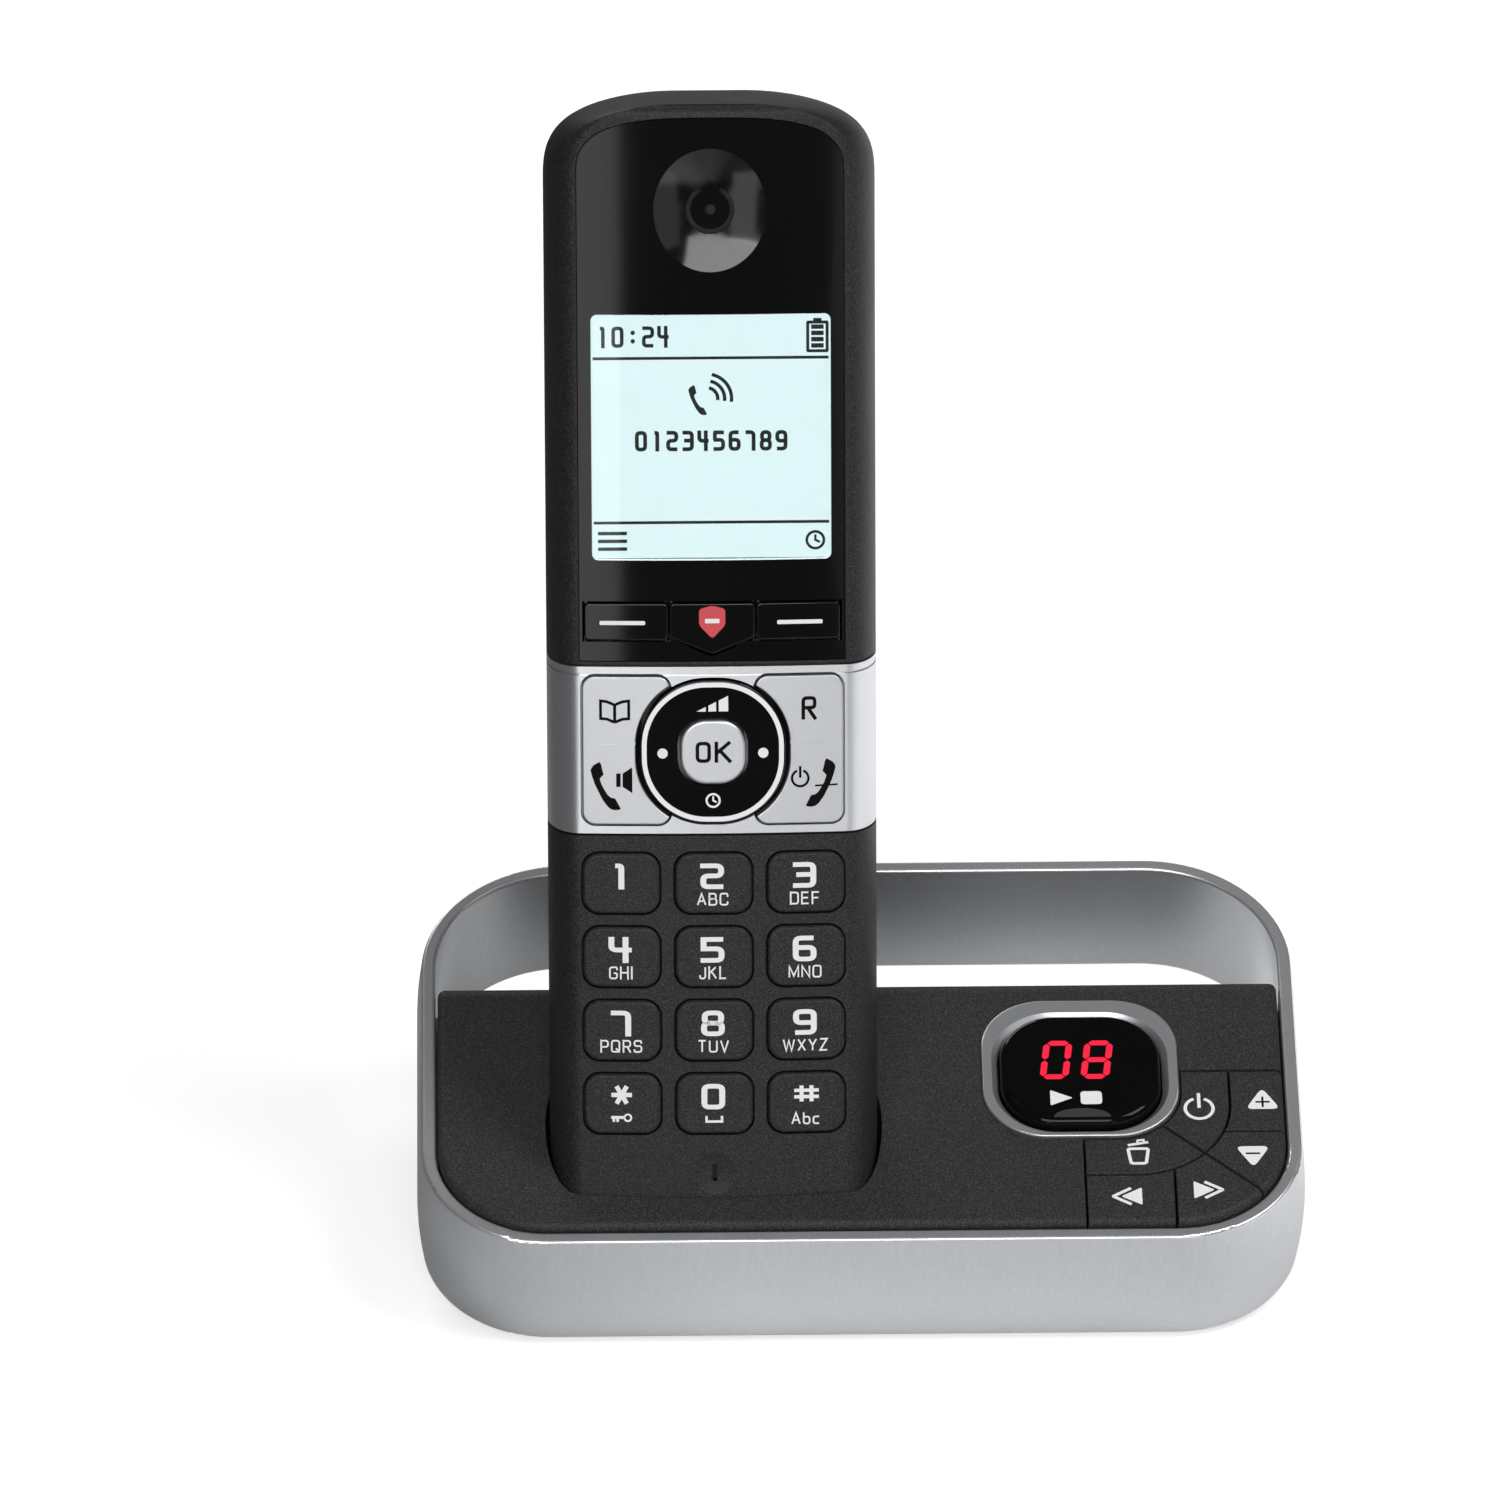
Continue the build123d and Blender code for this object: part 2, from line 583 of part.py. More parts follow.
def make_bottom_cover():
    """Lower shell between the ring's ledge and the table, open at the top."""
    above_table = block(-FAR, FAR, -FAR, FAR, FOOT_HEIGHT, FAR)
    above_floor = block(-FAR, FAR, -FAR, FAR, FLOOR_TOP, FAR)
    outer = (DECK * raised(deck_outline(RING_INNER), -FAR, LEDGE_BOTTOM)) & above_table
    hollow = deck_outline(RING_INNER + SHELL_WALL)
    inner = (DECK * raised(hollow, -FAR, LEDGE_BOTTOM + 1)) & above_floor
    rear_edge = outer.edges().filter_by(Axis.X).sort_by(Axis.Z)[:2].sort_by(Axis.Y)[-1]
    body = fillet(rear_edge, REAR_BOTTOM_EDGE) - inner
    for x, y in BASE_SCREWS:
        spot = deck_point(x, y, DECK_UNDERSIDE)
        body = body + post(spot.X, spot.Y, BOSS_RADIUS, FOOT_HEIGHT, BOSS_SPLIT)
        body = body - post(spot.X, spot.Y, SCREW_RADIUS + SCREW_GAP, 0, FAR)
        body = body - post(spot.X, spot.Y, SCREW_HEAD_RADIUS + SCREW_GAP, 0, screw_seat())
    rim = Circle(SPEAKER_RADIUS + SPEAKER_RIM) - Circle(SPEAKER_RADIUS + SCREW_GAP)
    body = body + raised(Pos(SPEAKER_X, SPEAKER_Y) * rim, FLOOR_TOP - 1, FLOOR_TOP + SPEAKER_RIM_HEIGHT)
    for slot in range(GRILLE_SLOTS):
        shift = (slot - (GRILLE_SLOTS - 1) / 2) * GRILLE_PITCH
        half = sqrt((SPEAKER_RADIUS - GRILLE_SLOT_WIDTH) ** 2 - shift**2)
        shape = Pos(SPEAKER_X + shift, SPEAKER_Y) * SlotOverall(2 * half, GRILLE_SLOT_WIDTH, 90)
        body = body - raised(shape, 0, FLOOR_TOP + 1)
    for foot_x, foot_y in foot_places():
        body = body - post(foot_x, foot_y, FOOT_RADIUS, 0, FOOT_HEIGHT + FOOT_RECESS)
    socket = outlet_block(SOCKET_X, SOCKET_WIDTH, SOCKET_HEIGHT, SOCKET_LENGTH, OUTLET_GAP)
    inlet = outlet_block(INLET_X, INLET_WIDTH, INLET_HEIGHT, INLET_LENGTH, OUTLET_GAP)
    body = body - DECK * socket - DECK * inlet
    for x, y in board_posts():
        support = DECK * post(x, y, BOSS_RADIUS, -FAR, BOARD_UNDERSIDE)
        body = body + (support & above_table)
    return body


def screw_seat():
    """Height at which a base screw's head stops."""
    return FOOT_HEIGHT + SCREW_HEAD_DEPTH


def foot_places():
    """Centres of the four feet on the table, before the model is centred."""
    for side in (-1, 1):
        yield side * FOOT_FRONT_X, FOOT_FRONT_Y
        yield side * FOOT_REAR_X, FOOT_REAR_Y


def make_feet():
    """Rubber feet, let into the floor."""
    feet = []
    for x, y in foot_places():
        foot = post(x, y, FOOT_RADIUS, 0, FOOT_HEIGHT + FOOT_RECESS)
        lower = foot.edges().sort_by(Axis.Z)[0]
        feet.append(fillet(lower, FOOT_RECESS / 2))
    return joined(feet)


def make_base_screws():
    """Screws that draw the deck down on the lower shell."""
    screws = []
    for x, y in BASE_SCREWS:
        spot = deck_point(x, y, DECK_UNDERSIDE)
        seat = screw_seat()
        head = post(spot.X, spot.Y, SCREW_HEAD_RADIUS, seat - SCREW_HEAD_HEIGHT, seat)
        shank = post(spot.X, spot.Y, SCREW_RADIUS, seat, BOSS_SPLIT + SCREW_BITE)
        screws.append(head + shank)
    return joined(screws)


def board_outline():
    """Plan of the main board, right of the handset's cup."""
    plan = deck_outline(RING_INNER + SHELL_WALL + BOARD_MARGIN)
    return plan & rectangle(BOARD_LEFT, FAR, -FAR, FAR)


def board_posts():
    """Places of the two posts that carry the main board."""
    yield BOARD_POST_LEFT, DECK_DEPTH / 2
    yield BOARD_POST_RIGHT, DECK_DEPTH / 2


def make_base_board():
    """Main board, with room for the screw bosses."""
    board = raised(board_outline(), BOARD_UNDERSIDE, BOARD_TOP)
    return DECK * board - screw_clearance()


def screw_clearance():
    """Room round the screw bosses."""
    rooms = [post(0, 0, BOSS_RADIUS + BOARD_GAP, 0, FAR)]
    spots = [deck_point(x, y, DECK_UNDERSIDE) for x, y in BASE_SCREWS]
    return [Pos(spot.X, spot.Y, 0) * rooms[0] for spot in spots]


def led_block(grow, low, high):
    """Box of the two digit display, grown in plan."""
    half_x = LED_WIDTH / 2 + grow
    half_y = LED_LENGTH / 2 + grow
    return block(BEZEL_X - half_x, BEZEL_X + half_x, LENS_Y - half_y, LENS_Y + half_y, low, high)


def lens_stem_place():
    """Place of the pin under the lens, in front of the digits."""
    return BEZEL_X, LENS_Y - LENS_LENGTH / 2 + LENS_WALL


def make_base_mat(centres):
    """Rubber mat on the board, with a dome under each key and a cut-out for the digits."""
    plan = board_outline() & rectangle(BEZEL_X - BEZEL_WIDTH / 2, FAR, -FAR, DECK_DEPTH - DECK_EDGE)
    mat = raised(plan, BOARD_TOP, BASE_MAT_TOP)
    for x, y in list(centres.values()) + [lens_stem_place()]:
        dome = post(x, y, DOME_RADIUS, BASE_MAT_TOP - DOME_HEIGHT, BASE_MAT_TOP + DOME_HEIGHT)
        mat = mat + dome
    mat = mat - led_block(BOARD_GAP, BOARD_TOP - 1, FAR)
    return DECK * mat - screw_clearance()


def make_message_display():
    """Two digit module that stands on the board under the lens."""
    module = led_block(0, BOARD_TOP, LED_TOP)
    return DECK * fillet(module.edges().filter_by(Axis.Z), BOARD_GAP)


def make_bezel():
    """Silver frame round the lens, with a sloped inner face."""
    ring = bezel_outline() - lens_outline(KEY_GAP)
    body = raised(ring, -BEZEL_SEAT, DECK_RISE + BEZEL_RISE)
    top = body.faces().filter_by(Axis.Z).sort_by(Axis.Z)[-1]
    inner = top.inner_wires()[0].edges()
    body = chamfer(inner, BEZEL_SLOPE)
    top = body.faces().filter_by(Axis.Z).sort_by(Axis.Z)[-1]
    return DECK * fillet(top.outer_wire().edges(), BEZEL_RISE / 2)


def make_lens():
    """Raised lens that is pressed as a key: a cap with a flange and a pin."""
    body = raised(lens_outline(), LENS_BOTTOM, LENS_TOP)
    top = body.faces().filter_by(Axis.Z).sort_by(Axis.Z)[-1]
    body = fillet(top.edges(), LENS_EDGE)
    body = body + raised(lens_outline(LENS_FLANGE), LENS_BOTTOM, LENS_FLANGE_TOP)
    body = body - raised(lens_outline(-LENS_WALL), LENS_BOTTOM - 1, LENS_TOP - LENS_ROOF)
    x, y = lens_stem_place()
    return DECK * (body + post(x, y, STEM_RADIUS / 2, STEM_END, LENS_TOP - LENS_ROOF))


def make_base_speaker():
    """Loudspeaker that faces the floor: basket, magnet and cone."""
    basket = post(SPEAKER_X, SPEAKER_Y, SPEAKER_RADIUS, FLOOR_TOP, FLOOR_TOP + SPEAKER_RIM_HEIGHT)
    top = FLOOR_TOP + SPEAKER_HEIGHT
    magnet = post(SPEAKER_X, SPEAKER_Y, SPEAKER_MAGNET_RADIUS, FLOOR_TOP, top)
    dish = Pos(SPEAKER_X, SPEAKER_Y, FLOOR_TOP + SPEAKER_RIM_HEIGHT / 2)
    dish = dish * Cone(SPEAKER_RADIUS - SPEAKER_RIM, SPEAKER_MAGNET_RADIUS / 2, SPEAKER_RIM_HEIGHT)
    return basket + magnet - dish


def outlet_block(x, width, height, length, gap):
    """Body of a connector that hangs under the board and comes through the rear wall."""
    rear = DECK_DEPTH + gap * 2
    low = BOARD_UNDERSIDE - height - gap
    return block(x - width / 2 - gap, x + width / 2 + gap, rear - length, rear, low, BOARD_UNDERSIDE)


def make_line_socket():
    """Line socket with its stepped mouth, facing the rear."""
    body = outlet_block(SOCKET_X, SOCKET_WIDTH, SOCKET_HEIGHT, SOCKET_LENGTH, 0)
    half = SOCKET_MOUTH_WIDTH / 2
    notch = SOCKET_NOTCH_WIDTH / 2
    middle = BOARD_UNDERSIDE - SOCKET_HEIGHT / 2
    low = middle - SOCKET_MOUTH_HEIGHT / 2
    high = middle + SOCKET_MOUTH_HEIGHT / 2
    front = DECK_DEPTH - SOCKET_MOUTH_DEPTH
    mouth = block(SOCKET_X - half, SOCKET_X + half, front, DECK_DEPTH + 1, low, high)
    step = block(SOCKET_X - notch, SOCKET_X + notch, front, DECK_DEPTH + 1, low - SOCKET_NOTCH_HEIGHT, low)
    return DECK * (body - mouth - step)


def make_power_inlet():
    """Low voltage inlet with its bore and centre pin, facing the rear."""
    body = outlet_block(INLET_X, INLET_WIDTH, INLET_HEIGHT, INLET_LENGTH, 0)
    middle = BOARD_UNDERSIDE - INLET_HEIGHT / 2
    front = DECK_DEPTH - INLET_BORE_DEPTH
    bore = peg(INLET_X, middle, INLET_BORE, front, DECK_DEPTH + 1)
    pin = peg(INLET_X, middle, INLET_PIN, front, DECK_DEPTH - BOARD_THICK)
    return DECK * (body - bore + pin)


# The handset, drawn in its own frame


def handset_section(half, front, back, side, rear, crown):
    """Level section: a crowned face, sides that swell to the middle and a flat back."""
    middle = (front + back) / 2
    flat = half - side
    rear_flat = half - rear
    corner = front + crown
    tail = back - middle
    lean = ROUND_PULL * side * tan(2 * atan(crown / flat))
    swell = [
        (flat, corner),
        (flat + ROUND_PULL * side, corner + lean),
        (half, middle - ROUND_PULL * (middle - corner)),
        (half, middle),
    ]
    face_edge = Line((-flat, front), (flat, front))
    if crown:
        face_edge = ThreePointArc((-flat, corner), (0, front), (flat, corner))
    edges = [
        face_edge,
        Bezier(*swell),
        EllipticalCenterArc((rear_flat, middle), rear, tail, 0, arc_size=90),
        Line((rear_flat, back), (-rear_flat, back)),
        EllipticalCenterArc((-rear_flat, middle), rear, tail, 90, arc_size=90),
        Bezier(*[(-x, y) for x, y in reversed(swell)]),
    ]
    return make_face(edges)


def handset_prism(grow, low, high):
    """The handset's middle section, grown evenly and drawn out straight."""
    section = handset_section(
        HALF_WIDTH + grow, -grow, HANDSET_DEPTH + grow, SIDE_ROUND, REAR_ROUND, FRONT_CROWN
    )
    return raised(section, low, high)


def rounded_in(edge, step):
    """How far a quarter round draws a face in, at a step from the end."""
    if step >= edge:
        return 0.0
    return edge - sqrt(edge**2 - (edge - step) ** 2)


def handset_end(inset, front_inset, crown_height, front_edge, rear_edge, height, direction, crown):
    """Rounded end of the handset, lofted through sections that close in towards it."""
    steps = 8
    sections = []
    for index in range(steps):
        share = 1 - index / (steps - 0.35)
        step = crown_height * share**2
        full = HALF_WIDTH - inset
        half = full * (1 - (1 - step / crown_height) ** CROWN_POWER) ** (1 / CROWN_POWER)
        thin = (half / full) ** 2
        front = front_inset + rounded_in(front_edge, step)
        back = HANDSET_DEPTH - inset - rounded_in(rear_edge, step)
        side = (SIDE_ROUND - inset) * thin
        face = handset_section(half, front, back, side, (REAR_ROUND - inset) * half / full, crown * thin)
        sections.append(Pos(0, 0, height - direction * step) * face)
    return loft(sections)


def handset_form(inset, front_inset, crown):
    """Whole handset, drawn in evenly: straight body and two rounded ends."""
    low = inset
    high = HANDSET_LENGTH - inset
    section = handset_section(
        HALF_WIDTH - inset, front_inset, HANDSET_DEPTH - inset, SIDE_ROUND - inset, REAR_ROUND - inset, crown
    )
    body = raised(section, low + LOW_CROWN, high - TOP_CROWN)
    top = handset_end(inset, front_inset, TOP_CROWN, TOP_FRONT_EDGE, TOP_REAR_EDGE, high, 1, crown)
    foot = handset_end(inset, front_inset, LOW_CROWN, LOW_FRONT_EDGE, LOW_REAR_EDGE, low, -1, crown)
    return body + top + foot


def crowned(depth, low, high):
    """Round bar whose front is the handset's crowned face at a depth, without its sides."""
    flat = HALF_WIDTH - SIDE_ROUND
    radius = (flat**2 + FRONT_CROWN**2) / (2 * FRONT_CROWN)
    return post(0, radius, radius - depth, low, high)


def face_layer(front, back, low, high):
    """Layer of the handset's crowned face between two depths."""
    return handset_prism(-front, low, high) - handset_prism(-back, low - 1, high + 1)


def panel_outline(grow=0.0):
    """Front view of the glossy panel, with a crowned top drawn by a superellipse."""
    half = PANEL_WIDTH / 2 + grow
    low = PANEL_LOW - grow
    spring = PANEL_HIGH - PANEL_CROWN
    height = PANEL_CROWN + grow
    arc = []
    for angle in (90, 70, 50, 35, 20, 0):
        x = half * cos(radians(angle)) ** (2 / CROWN_POWER)
        z = height * sin(radians(angle)) ** (2 / CROWN_POWER)
        arc.append((x, spring + z))
    shoulder = Spline(*arc, tangents=((1, 0), (0, -1)))
    sides = Polyline((half, spring), (half, low), (-half, low), (-half, spring))
    return make_face([shoulder, sides, mirror(shoulder, Plane.YZ)])


def window_outline(grow=0.0):
    """Front view of the display window."""
    half = WINDOW_WIDTH / 2 + grow
    return rectangle(-half, half, WINDOW_LOW - grow, WINDOW_HIGH + grow, WINDOW_RADIUS)


def number_key_places():
    """Centre of each number key by its name."""
    names = ("star", "0", "hash", "7", "8", "9", "4", "5", "6", "1", "2", "3")
    for index, name in enumerate(names):
        row, column = divmod(index, 3)
        yield "key_" + name, (column - 1) * KEY_PITCH_X, KEY_ROW_LOW + row * KEY_PITCH_Z


def key_outline(x, z, grow=0.0):
    """Front view of a number key."""
    plan = RectangleRounded(KEY_WIDTH + 2 * grow, KEY_HEIGHT + 2 * grow, KEY_RADIUS + grow)
    return Pos(x, z) * plan


def soft_key_outlines():
    """Front views of the three keys under the display, by name."""
    inner = SOFT_INNER - KEY_GAP / 2
    left = rectangle(-SOFT_OUTER, -SOFT_INNER - KEY_GAP / 2, SOFT_LOW, SOFT_HIGH, SOFT_RADIUS)
    right = mirror(left, Plane.YZ)
    badge = Polyline(
        (-inner, SOFT_HIGH), (-inner, SOFT_SHOULDER), (0, SOFT_POINT), (inner, SOFT_SHOULDER), (inner, SOFT_HIGH),
        (-inner, SOFT_HIGH),
    )
    badge = make_face(badge)
    badge = fillet(badge.vertices(), SOFT_RADIUS)
    return {"soft_key_left": left, "soft_key_middle": badge, "soft_key_right": right}


def soft_opening():
    """One opening for the three soft keys."""
    inner = SOFT_INNER + KEY_GAP / 2
    wide = rectangle(-SOFT_OUTER - KEY_GAP, SOFT_OUTER + KEY_GAP, SOFT_LOW - KEY_GAP, SOFT_HIGH + KEY_GAP)
    drop = KEY_GAP * 1.3
    point = Polyline(
        (-inner, SOFT_HIGH), (-inner, SOFT_SHOULDER - KEY_GAP), (0, SOFT_POINT - drop),
        (inner, SOFT_SHOULDER - KEY_GAP), (inner, SOFT_HIGH), (-inner, SOFT_HIGH),
    )
    return wide + make_face(point)


def nav_outline(width, radius):
    """Front view of the rounded square round the middle of the band."""
    return Pos(0, NAV_HEIGHT) * RectangleRounded(width, width, radius)


def nav_offset(width):
    """Rounded square of the navigation ring at another width, with even margins."""
    return nav_outline(width, NAV_RADIUS - (NAV_WIDTH - width) / 2)


def ring_room():
    """Front view of the room in which the navigation ring's flange rocks."""
    return nav_offset(NAV_WIDTH + 2 * KEY_FLANGE + 2 * ROCK_GAP)


def plate_outline(side, grow=0.0):
    """Front view of a function plate, hollowed where the navigation ring sits."""
    plan = rectangle(-PLATE_OUTER - grow, -PLATE_INNER + grow, PLATE_LOW - grow, PLATE_HIGH + grow, PLATE_RADIUS + grow)
    plan = plan - nav_offset(NAV_WIDTH + 2 * KEY_GAP - 2 * grow)
    if side > 0:
        return mirror(plan, Plane.YZ)
    return plan


def face_openings():
    """Every opening through the handset's face, in front view."""
    openings = [key_outline(x, z, KEY_GAP) for name, x, z in number_key_places()]
    openings.append(soft_opening())
    openings.append(nav_offset(NAV_WIDTH))
    openings.extend(plate_outline(side, KEY_GAP) for side in (-1, 1))
    return openings


def make_front_cover(shell):
    """Front shell: face, sides, seats for the band and the panel, openings and bosses."""
    body = shell & block(-FAR, FAR, -FAR, PARTING, -FAR, FAR)
    seat = face_layer(0, BAND_THICK, BAND_LOW - BAND_SEAM, BAND_HIGH + BAND_SEAM)
    body = body - seat
    recess = sunk(panel_outline(PANEL_GAP), -1, FRONT_WALL)
    body = body - (recess - crowned(PANEL_THICK, PANEL_LOW - 1, HANDSET_LENGTH))
    for outline in face_openings():
        body = body - sunk(outline, -FAR, PARTING / 2)
    body = body - sunk(window_outline(), -FAR, PARTING / 2)
    body = body - sunk(ring_room(), FRONT_WALL - NAV_RELIEF, NAV_BODY_BACK)
    body = body - peg(0, EAR_HEIGHT, EAR_CAVITY_RADIUS, -1, FRONT_WALL + 1)
    mic = rectangle(-MIC_SLOT / 2, MIC_SLOT / 2, MIC_LOW, MIC_HIGH, MIC_SLOT * 0.49)
    body = body - sunk(mic, -1, FRONT_WALL + 1)
    dish_radius = (MIC_DISH_RADIUS**2 + MIC_DISH_DEPTH**2) / (2 * MIC_DISH_DEPTH)
    dish = Pos(0, MIC_DISH_DEPTH - dish_radius, (MIC_LOW + MIC_HIGH) / 2) * Sphere(dish_radius)
    body = body - dish
    for x, z in HANDSET_SCREWS:
        body = body + peg(x, z, HANDSET_BOSS_RADIUS, FRONT_WALL - KEY_SEAT, PARTING)
        body = body - peg(x, z, SCREW_RADIUS + SCREW_GAP, FRONT_WALL + COVER_WALL, PARTING + 1)
    for plate in charge_plates(0):
        body = body - plate
    return body


def door_outline(grow=0.0):
    """Rear view of the battery door."""
    half = DOOR_WIDTH / 2 + grow
    return rectangle(-half, half, DOOR_LOW - grow, DOOR_HIGH + grow, DOOR_RADIUS)


def make_rear_cover(shell):
    """Rear shell with the battery tray, speaker slots and screw bosses."""
    body = shell & block(-FAR, FAR, PARTING, FAR, -FAR, FAR)
    side = TRAY_HALF + TRAY_WALL
    door_seat = HANDSET_DEPTH - DOOR_THICK
    tray = block(-side, side, TRAY_FRONT - TRAY_WALL, door_seat, TRAY_LOW - TRAY_WALL, TRAY_HIGH + TRAY_WALL)
    body = body + tray
    body = body - sunk(door_outline(DOOR_GAP), door_seat, FAR)
    body = body - block(-TRAY_HALF, TRAY_HALF, TRAY_FRONT, FAR, TRAY_LOW, TRAY_HIGH)
    for side in (-1, 1):
        body = body - door_tab(side, DOOR_TAB_GAP) - door_tab_room(side)
    for slot in range(RINGER_SLOTS):
        shift = (slot - (RINGER_SLOTS - 1) / 2) * RINGER_PITCH
        half = sqrt((RINGER_RADIUS - RINGER_SLOT_WIDTH) ** 2 - shift**2)
        shape = Pos(0, RINGER_HEIGHT + shift) * SlotOverall(2 * half, RINGER_SLOT_WIDTH)
        body = body - sunk(shape, PARTING, FAR)
    for x, z in HANDSET_SCREWS:
        boss = peg(x, z, REAR_BOSS_RADIUS, PARTING, HANDSET_DEPTH) & handset_prism(0, 0, HANDSET_LENGTH)
        body = body + boss
        body = body - peg(x, z, SCREW_RADIUS + SCREW_GAP, PARTING - 1, FAR)
        body = body - peg(x, z, SCREW_HEAD_RADIUS + SCREW_GAP, HANDSET_HEAD_SEAT, FAR)
    return body


def door_tab(side, grow=0.0):
    """Tongue at the door's lower edge that hooks under the rear shell."""
    half = DOOR_TAB_WIDTH / 2 + grow
    seat = HANDSET_DEPTH - COVER_WALL
    low = DOOR_LOW - DOOR_TAB_REACH - grow
    high = DOOR_LOW + DOOR_TAB_ROOT + grow
    front = seat - DOOR_TAB_GAP - DOOR_TAB_THICK - grow
    tongue = block(-half, half, front, seat - DOOR_TAB_GAP, low, high)
    root = block(-half, half, front, HANDSET_DEPTH - DOOR_THICK, DOOR_LOW + DOOR_TAB_GAP - grow, high)
    return Pos(side * DOOR_TAB_X, 0, 0) * (tongue + root)


def door_tab_room(side):
    """Slot in the rear shell through which a tongue swings as the door opens."""
    half = DOOR_TAB_WIDTH / 2 + DOOR_TAB_GAP
    slot = block(-half, half, PARTING, HANDSET_DEPTH, DOOR_LOW + DOOR_TAB_GAP, DOOR_LOW + DOOR_HINGE_MARGIN)
    return Pos(side * DOOR_TAB_X, 0, 0) * slot


def make_battery_door():
    """Flat door with two tongues below and a finger scoop above."""
    body = sunk(door_outline(), HANDSET_DEPTH - DOOR_THICK, HANDSET_DEPTH)
    for side in (-1, 1):
        body = body + door_tab(side)
    reach = (DOOR_SCOOP_RADIUS**2 + DOOR_SCOOP_DEPTH**2) / (2 * DOOR_SCOOP_DEPTH)
    scoop = Pos(0, HANDSET_DEPTH - DOOR_SCOOP_DEPTH + reach, DOOR_HIGH - DOOR_SCOOP_RADIUS)
    body = body - scoop * Sphere(reach)
    return body


def make_band():
    """Silver band over the face and sides, with a bead along its upper edge."""
    body = face_layer(0, BAND_THICK, BAND_LOW, BAND_HIGH)
    body = body & block(-FAR, FAR, -FAR, PARTING, -FAR, FAR)
    groove_low = BAND_HIGH - BAND_BEAD - BAND_GROOVE
    body = body - face_layer(-1, BAND_GROOVE, groove_low, BAND_HIGH - BAND_BEAD)
    body = body - sunk(nav_offset(NAV_WIDTH), -FAR, PARTING / 2)
    for side in (-1, 1):
        body = body - sunk(plate_outline(side, KEY_GAP), -FAR, PARTING / 2)
    return body.solids().sort_by(SortBy.VOLUME)[-1]


def panel_layer(outline):
    """Sheet of the panel's thickness that follows the crowned face."""
    body = sunk(outline, -1, FRONT_WALL) & crowned(0, PANEL_LOW - 1, HANDSET_LENGTH)
    return body - crowned(PANEL_THICK, PANEL_LOW - 2, HANDSET_LENGTH + 1)


def make_front_panel():
    """Glossy panel with the display opening, the key opening and the ear dish."""
    body = panel_layer(panel_outline())
    body = body - sunk(window_outline(), -1, FRONT_WALL)
    body = body - sunk(soft_opening(), -1, FRONT_WALL)
    reach = (EAR_RADIUS**2 + EAR_DEPTH**2) / (2 * EAR_DEPTH)
    body = body - Pos(0, EAR_DEPTH - reach, EAR_HEIGHT) * Sphere(reach)
    ring = Circle(EAR_SLOT_RADIUS + EAR_SLOT_WIDTH / 2) - Circle(EAR_SLOT_RADIUS - EAR_SLOT_WIDTH / 2)
    bridge_half = radians(EAR_SLOT_OPEN / 2)
    reach = 2 * EAR_SLOT_RADIUS
    bridge = make_face(
        Polyline((0, 0), (reach * sin(bridge_half), reach), (-reach * sin(bridge_half), reach), (0, 0))
    )
    slot = Pos(0, EAR_HEIGHT) * (ring - bridge)
    body = body - sunk(slot, -1, FRONT_WALL)
    return body - peg(0, EAR_HEIGHT, EAR_HOLE_RADIUS, -1, FRONT_WALL)


def make_window():
    """Clear window, flush with the panel."""
    return panel_layer(window_outline(-WINDOW_GAP))


def make_display_module():
    """Display behind the front shell, between it and the board."""
    return sunk(window_outline(DISPLAY_MARGIN), FRONT_WALL, PCB_FRONT)


def key_cap(outline, proud, edge):
    """Cap whose top follows the crowned face, with softened edges."""
    low = outline.bounding_box().min.Y - 1
    high = outline.bounding_box().max.Y + 1
    cap = sunk(outline, -proud - 1, CAP_BACK) & crowned(-proud, low, high)
    top = cap.faces().sort_by(Axis.Y)[0]
    return fillet(top.edges(), edge)


def make_number_key(x, z):
    """Number key: cap, flange behind the face and a stem over its dome."""
    cap = key_cap(key_outline(x, z), KEY_PROUD, KEY_SOFT_EDGE)
    flange = sunk(key_outline(x, z, KEY_FLANGE), CAP_BACK, KEY_FLANGE_BACK)
    stem = peg(x, z, KEY_STEM_RADIUS, KEY_FLANGE_BACK, KEY_FLANGE_BACK + KEY_STEM_LENGTH)
    return cap + flange + stem


def make_soft_key(outline):
    """Key under the display: cap, flange above and below it, and a stem."""
    cap = key_cap(outline, SOFT_PROUD, KEY_EDGE)
    box = outline.bounding_box()
    low = SOFT_LOW - KEY_GAP - KEY_FLANGE
    high = SOFT_HIGH + KEY_GAP + KEY_FLANGE
    flange = block(box.min.X, box.max.X, CAP_BACK, KEY_FLANGE_BACK, low, high)
    x, z = soft_stem_place(outline)
    stem = peg(x, z, KEY_STEM_RADIUS, KEY_FLANGE_BACK, KEY_FLANGE_BACK + KEY_STEM_LENGTH)
    return cap + flange + stem


def soft_stem_place(outline):
    """Place of a soft key's stem."""
    box = outline.bounding_box()
    return (box.min.X + box.max.X) / 2, (SOFT_LOW + SOFT_HIGH) / 2


def make_nav_ring():
    """Four way ring with a groove for its trim and a hole for the middle key."""
    width = NAV_WIDTH - 2 * KEY_GAP
    body = sunk(nav_offset(width), -NAV_PROUD - 1, NAV_BODY_BACK)
    body = body & crowned(-NAV_PROUD, NAV_HEIGHT - width, NAV_HEIGHT + width)
    top = body.faces().sort_by(Axis.Y)[0]
    body = fillet(top.edges(), KEY_EDGE)
    flange = nav_offset(NAV_WIDTH + 2 * KEY_FLANGE)
    body = body + sunk(flange, ROCK_FLANGE_FRONT, NAV_BODY_BACK + KEY_EDGE)
    body = body - trim_blank(0)
    return body - sunk(nav_outline(NAV_HOLE, NAV_HOLE_RADIUS), -FAR, FAR)


